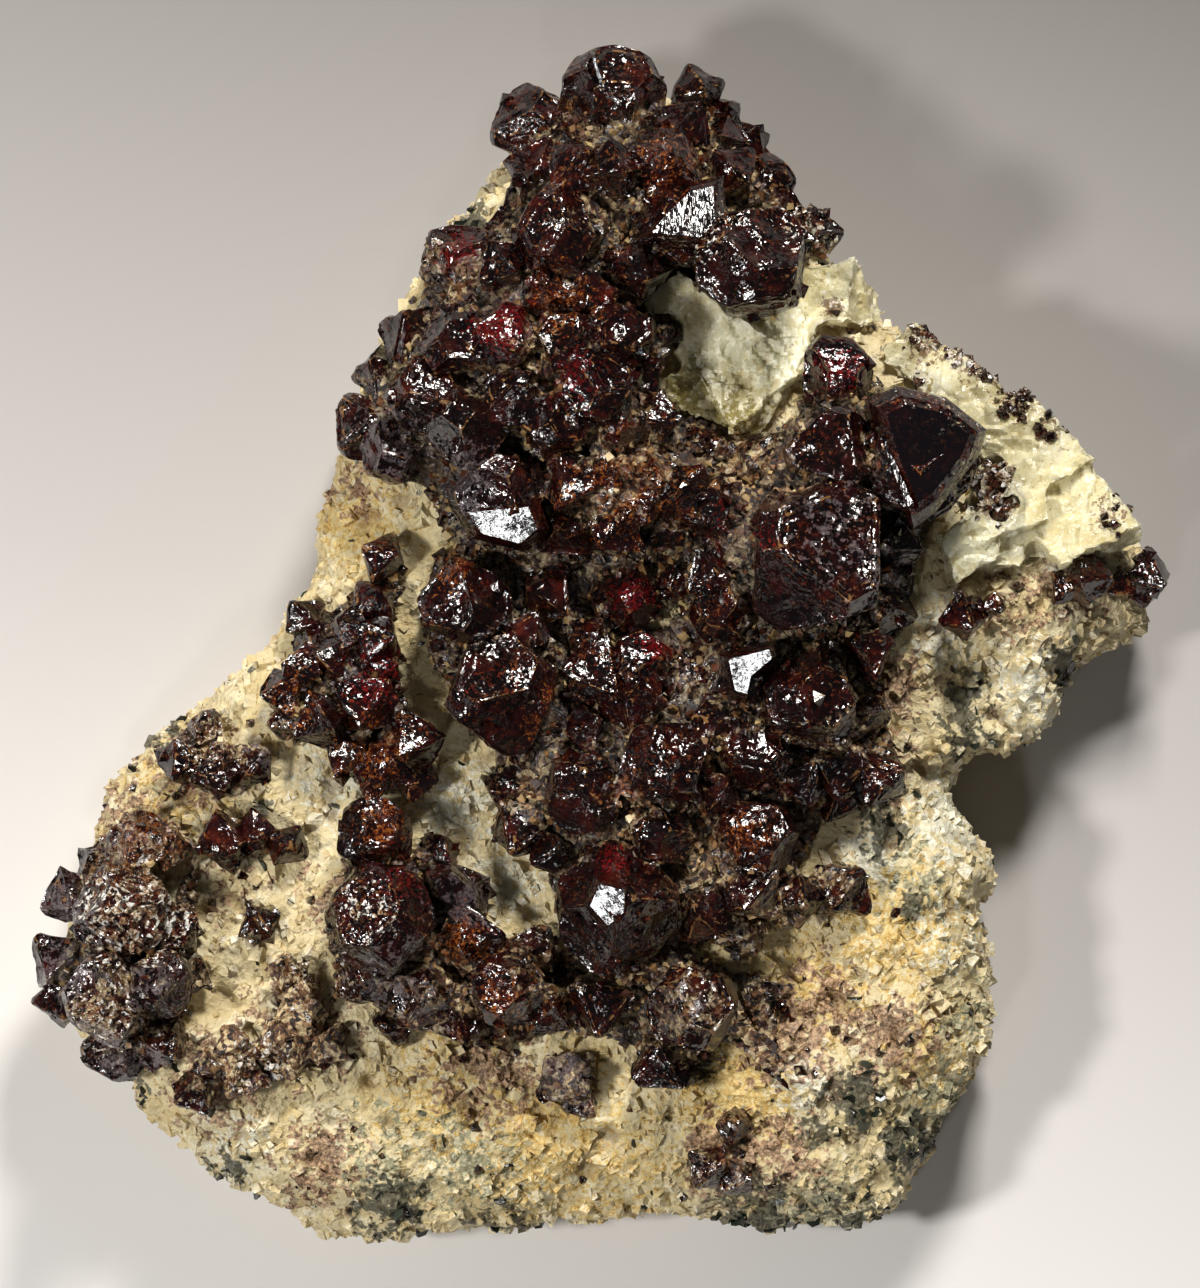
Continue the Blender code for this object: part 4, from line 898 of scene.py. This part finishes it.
def stepped(bm, rng):
    """Growth steps: smaller and smaller plates on the large faces."""
    for _ in range(STEP_ROUNDS):
        steps = [[] for _ in range(STEP_KINDS)]
        for face in bm.faces:
            breadth = face.calc_area() / sum(e.calc_length() for e in face.edges)
            wide = breadth > STEP_LEAST_BREADTH * MM and face.normal.z > BEDDED_SLOPE
            if wide and rng.random() < STEP_CHANCE:
                rng.choice(steps).append(face)
        for faces in steps:
            width = rng.uniform(*STEP_WIDTH) * MM
            height = rng.choice((-1, 1, 1)) * rng.uniform(*STEP_HEIGHT) * MM
            bmesh.ops.inset_individual(bm, faces=faces, thickness=width, depth=height, use_even_offset=True)


def crystal_relief(p, crumble):
    """How far a crystal's surface stands out at a point in millimetres."""
    warp = noise.noise(p / WARP_SIZE) * WARP_RELIEF
    terrace = math.floor(noise.noise(p / TERRACE_SIZE + Vector((5, 3, 1))) * 6) * TERRACE_HEIGHT
    bent = p / CHIP_SIZE + noise.noise_vector(p / (2.2 * CHIP_SIZE)) * 0.7
    return warp * crumble + terrace + noise.cell(bent) * CHIP_RELIEF * crumble


def crumbling(points, relief, extra):
    """How far the crystals have crumbled at points in millimetres, from 0 to 1."""
    patches = np.array([noise.noise(Vector(p) / CRUMBLE_SIZE + Vector((2, 8, 5))) for p in points])
    silver = patch_strength(CRYSTAL_PATCHES, "silver", points)
    amber = patch_strength(CRYSTAL_PATCHES, "amber", points)
    worn = patch_strength(CRYSTAL_PATCHES, "worn", points)
    share = relief.lowness(points) * 0.9 + patches * 1.1 - 0.1 + extra + silver + 0.4 * amber + worn
    return np.clip(share, 0.06, 1.0)


def on_sharp_edge(vert):
    """True for a point on an outer edge between two crystal faces."""
    return any(e.is_convex and e.calc_face_angle(0.0) > SHARP_EDGE for e in vert.link_edges)


def build_crystals(node, surfaces, material, relief, seed):
    """One group of crystals with steps, chips and worn places on its faces, added to the surfaces too."""
    rng = random.Random(seed)
    bm = mesh_from_node(node)
    bmesh.ops.dissolve_limit(bm, angle_limit=math.radians(FACE_JOIN_ANGLE), verts=bm.verts, edges=bm.edges)
    stepped(bm, rng)
    fine_cut(bm, CRYSTAL_CUT)
    bm.normal_update()
    points = np.array([v.co[:] for v in bm.verts]) / MM
    edges = np.array([1.0 if on_sharp_edge(v) else 0.0 for v in bm.verts])
    crumble = crumbling(points, relief, ALTERED_CRUMBLE if SLOTS[node] == "altered_pyrochlore" else 0.0)
    shifts = [crystal_relief(Vector(p), c) for p, c in zip(points, crumble)]
    for vert, shift in zip(bm.verts, shifts):
        if vert.co.z > BASE_CLEAR * MM:
            vert.co += vert.normal * shift * MM
    smoothed(bm, WEAR)
    piece = piece_from(bm, node + "_faces", material)
    store(piece.data, "low", relief.lowness(points))
    store(piece.data, "edge", edges)
    store_patches(piece.data, CRYSTAL_PATCHES)
    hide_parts(node)
    surfaces.from_mesh(piece.data)


def build_druse(surfaces, material, relief):
    """Small crystals in the hollows between the large ones."""
    rng = random.Random(DRUSE_SEED)
    heap = Heap()
    places = spots_on(surfaces, DRUSE_TRIES, DRUSE_SEED, DRUSE_LOWEST_SLOPE)[0]
    chances = 0.12 + 0.75 * relief.lowness(places)
    for place in kept(places, chances, DRUSE_SEED):
        size = rng.uniform(*DRUSE_SIZE)
        heap.add(OCTAHEDRON, OCTAHEDRON_FACES, place, any_turn(rng), [size] * 3, 0.1, rng)
    piece = heap.piece("druse", material, CRYSTAL_PATCHES)
    store(piece.data, "low", relief.lowness(points_of(piece.data)))


def build_gap_grains(surfaces, material, relief):
    """Crumbs in the hollows between the large crystals."""
    rng = random.Random(GAP_GRAIN_SEED)
    heap = Heap()
    places = spots_on(surfaces, GAP_GRAIN_TRIES, GAP_GRAIN_SEED, 0.0)[0]
    patches = np.array([noise.noise(Vector(p) / GAP_GRAIN_PATCH_SIZE) for p in places])
    worn = patch_strength(CRYSTAL_PATCHES, "worn", places)
    low = relief.lowness(places)
    chances = np.clip(low ** 2 * 0.5 + 0.9 * worn * low + 0.7 * patches * low, 0.0, 0.85)
    for place in kept(places, chances, GAP_GRAIN_SEED):
        size = rng.uniform(*GAP_GRAIN_SIZE)
        shape = [size, size * rng.uniform(0.6, 1), size * rng.uniform(0.5, 0.9)]
        heap.add(BLOCK, BLOCK_FACES, place, any_turn(rng), shape, 0.5, rng)
    heap.piece("gap_grains", material, CRYSTAL_PATCHES)


def half_way(place, light):
    """The way a face at a place has to point to throw a light at the camera."""
    camera = Vector((VIEW_CENTRE[0], VIEW_CENTRE[1], VIEW_LEVEL + CAMERA_DISTANCE))
    return ((camera - place).normalized() + (Vector(light) - place).normalized()).normalized()


def build_flat_face(name, outline, light, striped, polished, material, relief):
    """A crystal with one smooth flat face turned half-way to a place, and sides that flare out below it."""
    middle = Vector((*np.mean(outline, axis=0), 0))
    middle.z = max(relief.height(*point) for point in outline + [middle.xy]) + FLAT_FACE_LIFT
    normal = half_way(middle, light)
    rings = []
    bm = bmesh.new()
    for flare, drop in FLAT_FACE_FLARE:
        ring = []
        for x, y in outline:
            out = Vector((x, y, 0)) - Vector((middle.x, middle.y, 0))
            lift = -(normal.x * out.x + normal.y * out.y) / normal.z
            ring.append(bm.verts.new((middle + out * flare + Vector((0, 0, lift - drop))) * MM))
        rings.append(ring)
    turn = 1 if doubled_area(outline) > 0 else -1
    bm.faces.new(rings[0][::turn])
    bm.faces.new(rings[-1][::-turn])
    for upper, lower in zip(rings, rings[1:]):
        for i in range(len(outline)):
            j = (i + 1) % len(outline)
            bm.faces.new([upper[i], lower[i], lower[j], upper[j]][::turn])
    piece = piece_from(bm, name, material)
    top_only = np.array([1.0] + [0.0] * (len(piece.data.polygons) - 1))
    store(piece.data, "mirror", top_only * polished, "FACE")
    store(piece.data, "striped", top_only * striped, "FACE")
    store_patches(piece.data, CRYSTAL_PATCHES)


def doubled_area(outline):
    """Twice the area of an outline, positive when it runs anticlockwise."""
    return sum(a[0] * b[1] - a[1] * b[0] for a, b in zip(outline, outline[1:] + outline[:1]))


def calcite_relief(p):
    """Lumps and crossing cleavage ledges of calcite, at a point in millimetres."""
    bent = p + noise.noise_vector(p / 5) * 1.5
    near = noise.voronoi(bent / CALCITE_LUMP)[0]
    height = (min(0.4, near[1] - near[0]) - 0.4) * CALCITE_LUMP_RELIEF + noise.noise(p / 0.9) * 0.1
    for way in CLEAVAGE_WAYS:
        along = p.dot(way) / CLEAVAGE_SIZE + noise.noise(p / 3.5) * 1.2
        height += (along - math.floor(along) - 1.0) * CLEAVAGE_STEP
    return height


def build_calcite(node, surfaces, material):
    """One body of calcite, added to the surfaces too."""
    bm = evaluated(mesh_from_node(node), add_remesh)
    bm.normal_update()
    for _ in range(CALCITE_SMOOTHING_ROUNDS):
        smoothed(bm, CALCITE_SMOOTHING)
    bm.normal_update()
    shifts = [calcite_relief(v.co / MM) for v in bm.verts]
    for vert, shift in zip(bm.verts, shifts):
        vert.co += vert.normal * shift * MM
    for face in bm.faces:
        face.smooth = True
    piece = piece_from(bm, node + "_cleavage", material)
    piece.data.set_sharp_from_angle(angle=math.radians(CALCITE_SHARP))
    store_patches(piece.data, CALCITE_PATCHES)
    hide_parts(node)
    surfaces.from_mesh(piece.data)


def build_crumbs(surfaces, material):
    """Small brown crystals on the browned places of the calcite."""
    rng = random.Random(CRUMB_SEED)
    heap = Heap()
    places = spots_on(surfaces, CRUMB_TRIES, CRUMB_SEED)[0]
    chances = patch_strength(CALCITE_PATCHES, "brown", places) ** 2
    for place in kept(places, chances, CRUMB_SEED):
        size = rng.uniform(*CRUMB_SIZE)
        heap.add(OCTAHEDRON, OCTAHEDRON_FACES, place, any_turn(rng), [size] * 3, 0.15, rng)
    heap.piece("crumbs", material, CRYSTAL_PATCHES)


def build_floor(material):
    """The floor under the specimen."""
    bm = bmesh.new()
    bmesh.ops.create_grid(bm, x_segments=2, y_segments=2, size=FLOOR_HALF_SIZE * MM)
    mesh = bpy.data.meshes.new("floor")
    bm.to_mesh(mesh)
    bm.free()
    mesh.materials.append(material)
    floor = bpy.data.objects.new("floor", mesh)
    bpy.context.scene.collection.objects.link(floor)


def add_light(name, place, size, power, colour):
    """A square soft light that faces the specimen."""
    data = bpy.data.lights.new(name, "AREA")
    data.size = size * MM
    data.energy = power
    data.color = colour
    light = bpy.data.objects.new(name, data)
    light.location = Vector(place) * MM
    aim = Vector((0, 0, LIGHT_AIM_LEVEL * MM)) - light.location
    light.rotation_euler = aim.to_track_quat("-Z", "Y").to_euler()
    bpy.context.scene.collection.objects.link(light)


def add_camera():
    """A camera straight above."""
    data = bpy.data.cameras.new("camera")
    data.sensor_fit = "HORIZONTAL"
    data.sensor_width = SENSOR_WIDTH
    data.lens = SENSOR_WIDTH * CAMERA_DISTANCE / VIEW_WIDTH
    data.clip_start = CLIP_START * MM
    camera = bpy.data.objects.new("camera", data)
    camera.location = Vector((VIEW_CENTRE[0], VIEW_CENTRE[1], VIEW_LEVEL + CAMERA_DISTANCE)) * MM
    bpy.context.scene.collection.objects.link(camera)
    bpy.context.scene.camera = camera


def add_sky():
    """Weak light from all round."""
    world = bpy.data.worlds.new("studio")
    world.use_nodes = True
    back = world.node_tree.nodes["Background"]
    back.inputs["Color"].default_value = (*SKY_COLOUR, 1)
    back.inputs["Strength"].default_value = SKY_STRENGTH
    bpy.context.scene.world = world


add_camera()
add_sky()
add_light("key", KEY_PLACE, KEY_SIZE, KEY_POWER, KEY_COLOUR)
add_light("second", SECOND_PLACE, SECOND_SIZE, SECOND_POWER, SECOND_COLOUR)
add_light("front", FRONT_PLACE, FRONT_SIZE, FRONT_POWER, FRONT_COLOUR)
build_floor(floor_material())

relief = Relief()
ground = build_rock(rock_material())
glassy = crystal_material("pyrochlore", 0.0)
dull = crystal_material("altered_pyrochlore", 1.0)
build_loose_grains(ground, grain_material())
build_mica(ground, mica_material())
build_grain_crystals(ground, dull)
ground.free()
surfaces = bmesh.new()
for seed, node in enumerate(CRYSTAL_NODES):
    looks = dull if SLOTS[node] == "altered_pyrochlore" else glassy
    build_crystals(node, surfaces, looks, relief, seed)
surfaces.normal_update()
build_druse(surfaces, glassy, relief)
build_gap_grains(surfaces, gap_grain_material(), relief)
surfaces.free()
for name, outline, light, striped, polished in FLAT_FACES:
    build_flat_face(name, outline, light, striped, polished, glassy, relief)
calcite = calcite_material()
surfaces = bmesh.new()
for node in CALCITE_NODES:
    build_calcite(node, surfaces, calcite)
surfaces.normal_update()
build_crumbs(surfaces, dull)
surfaces.free()

bpy.context.scene.view_settings.view_transform = "Standard"
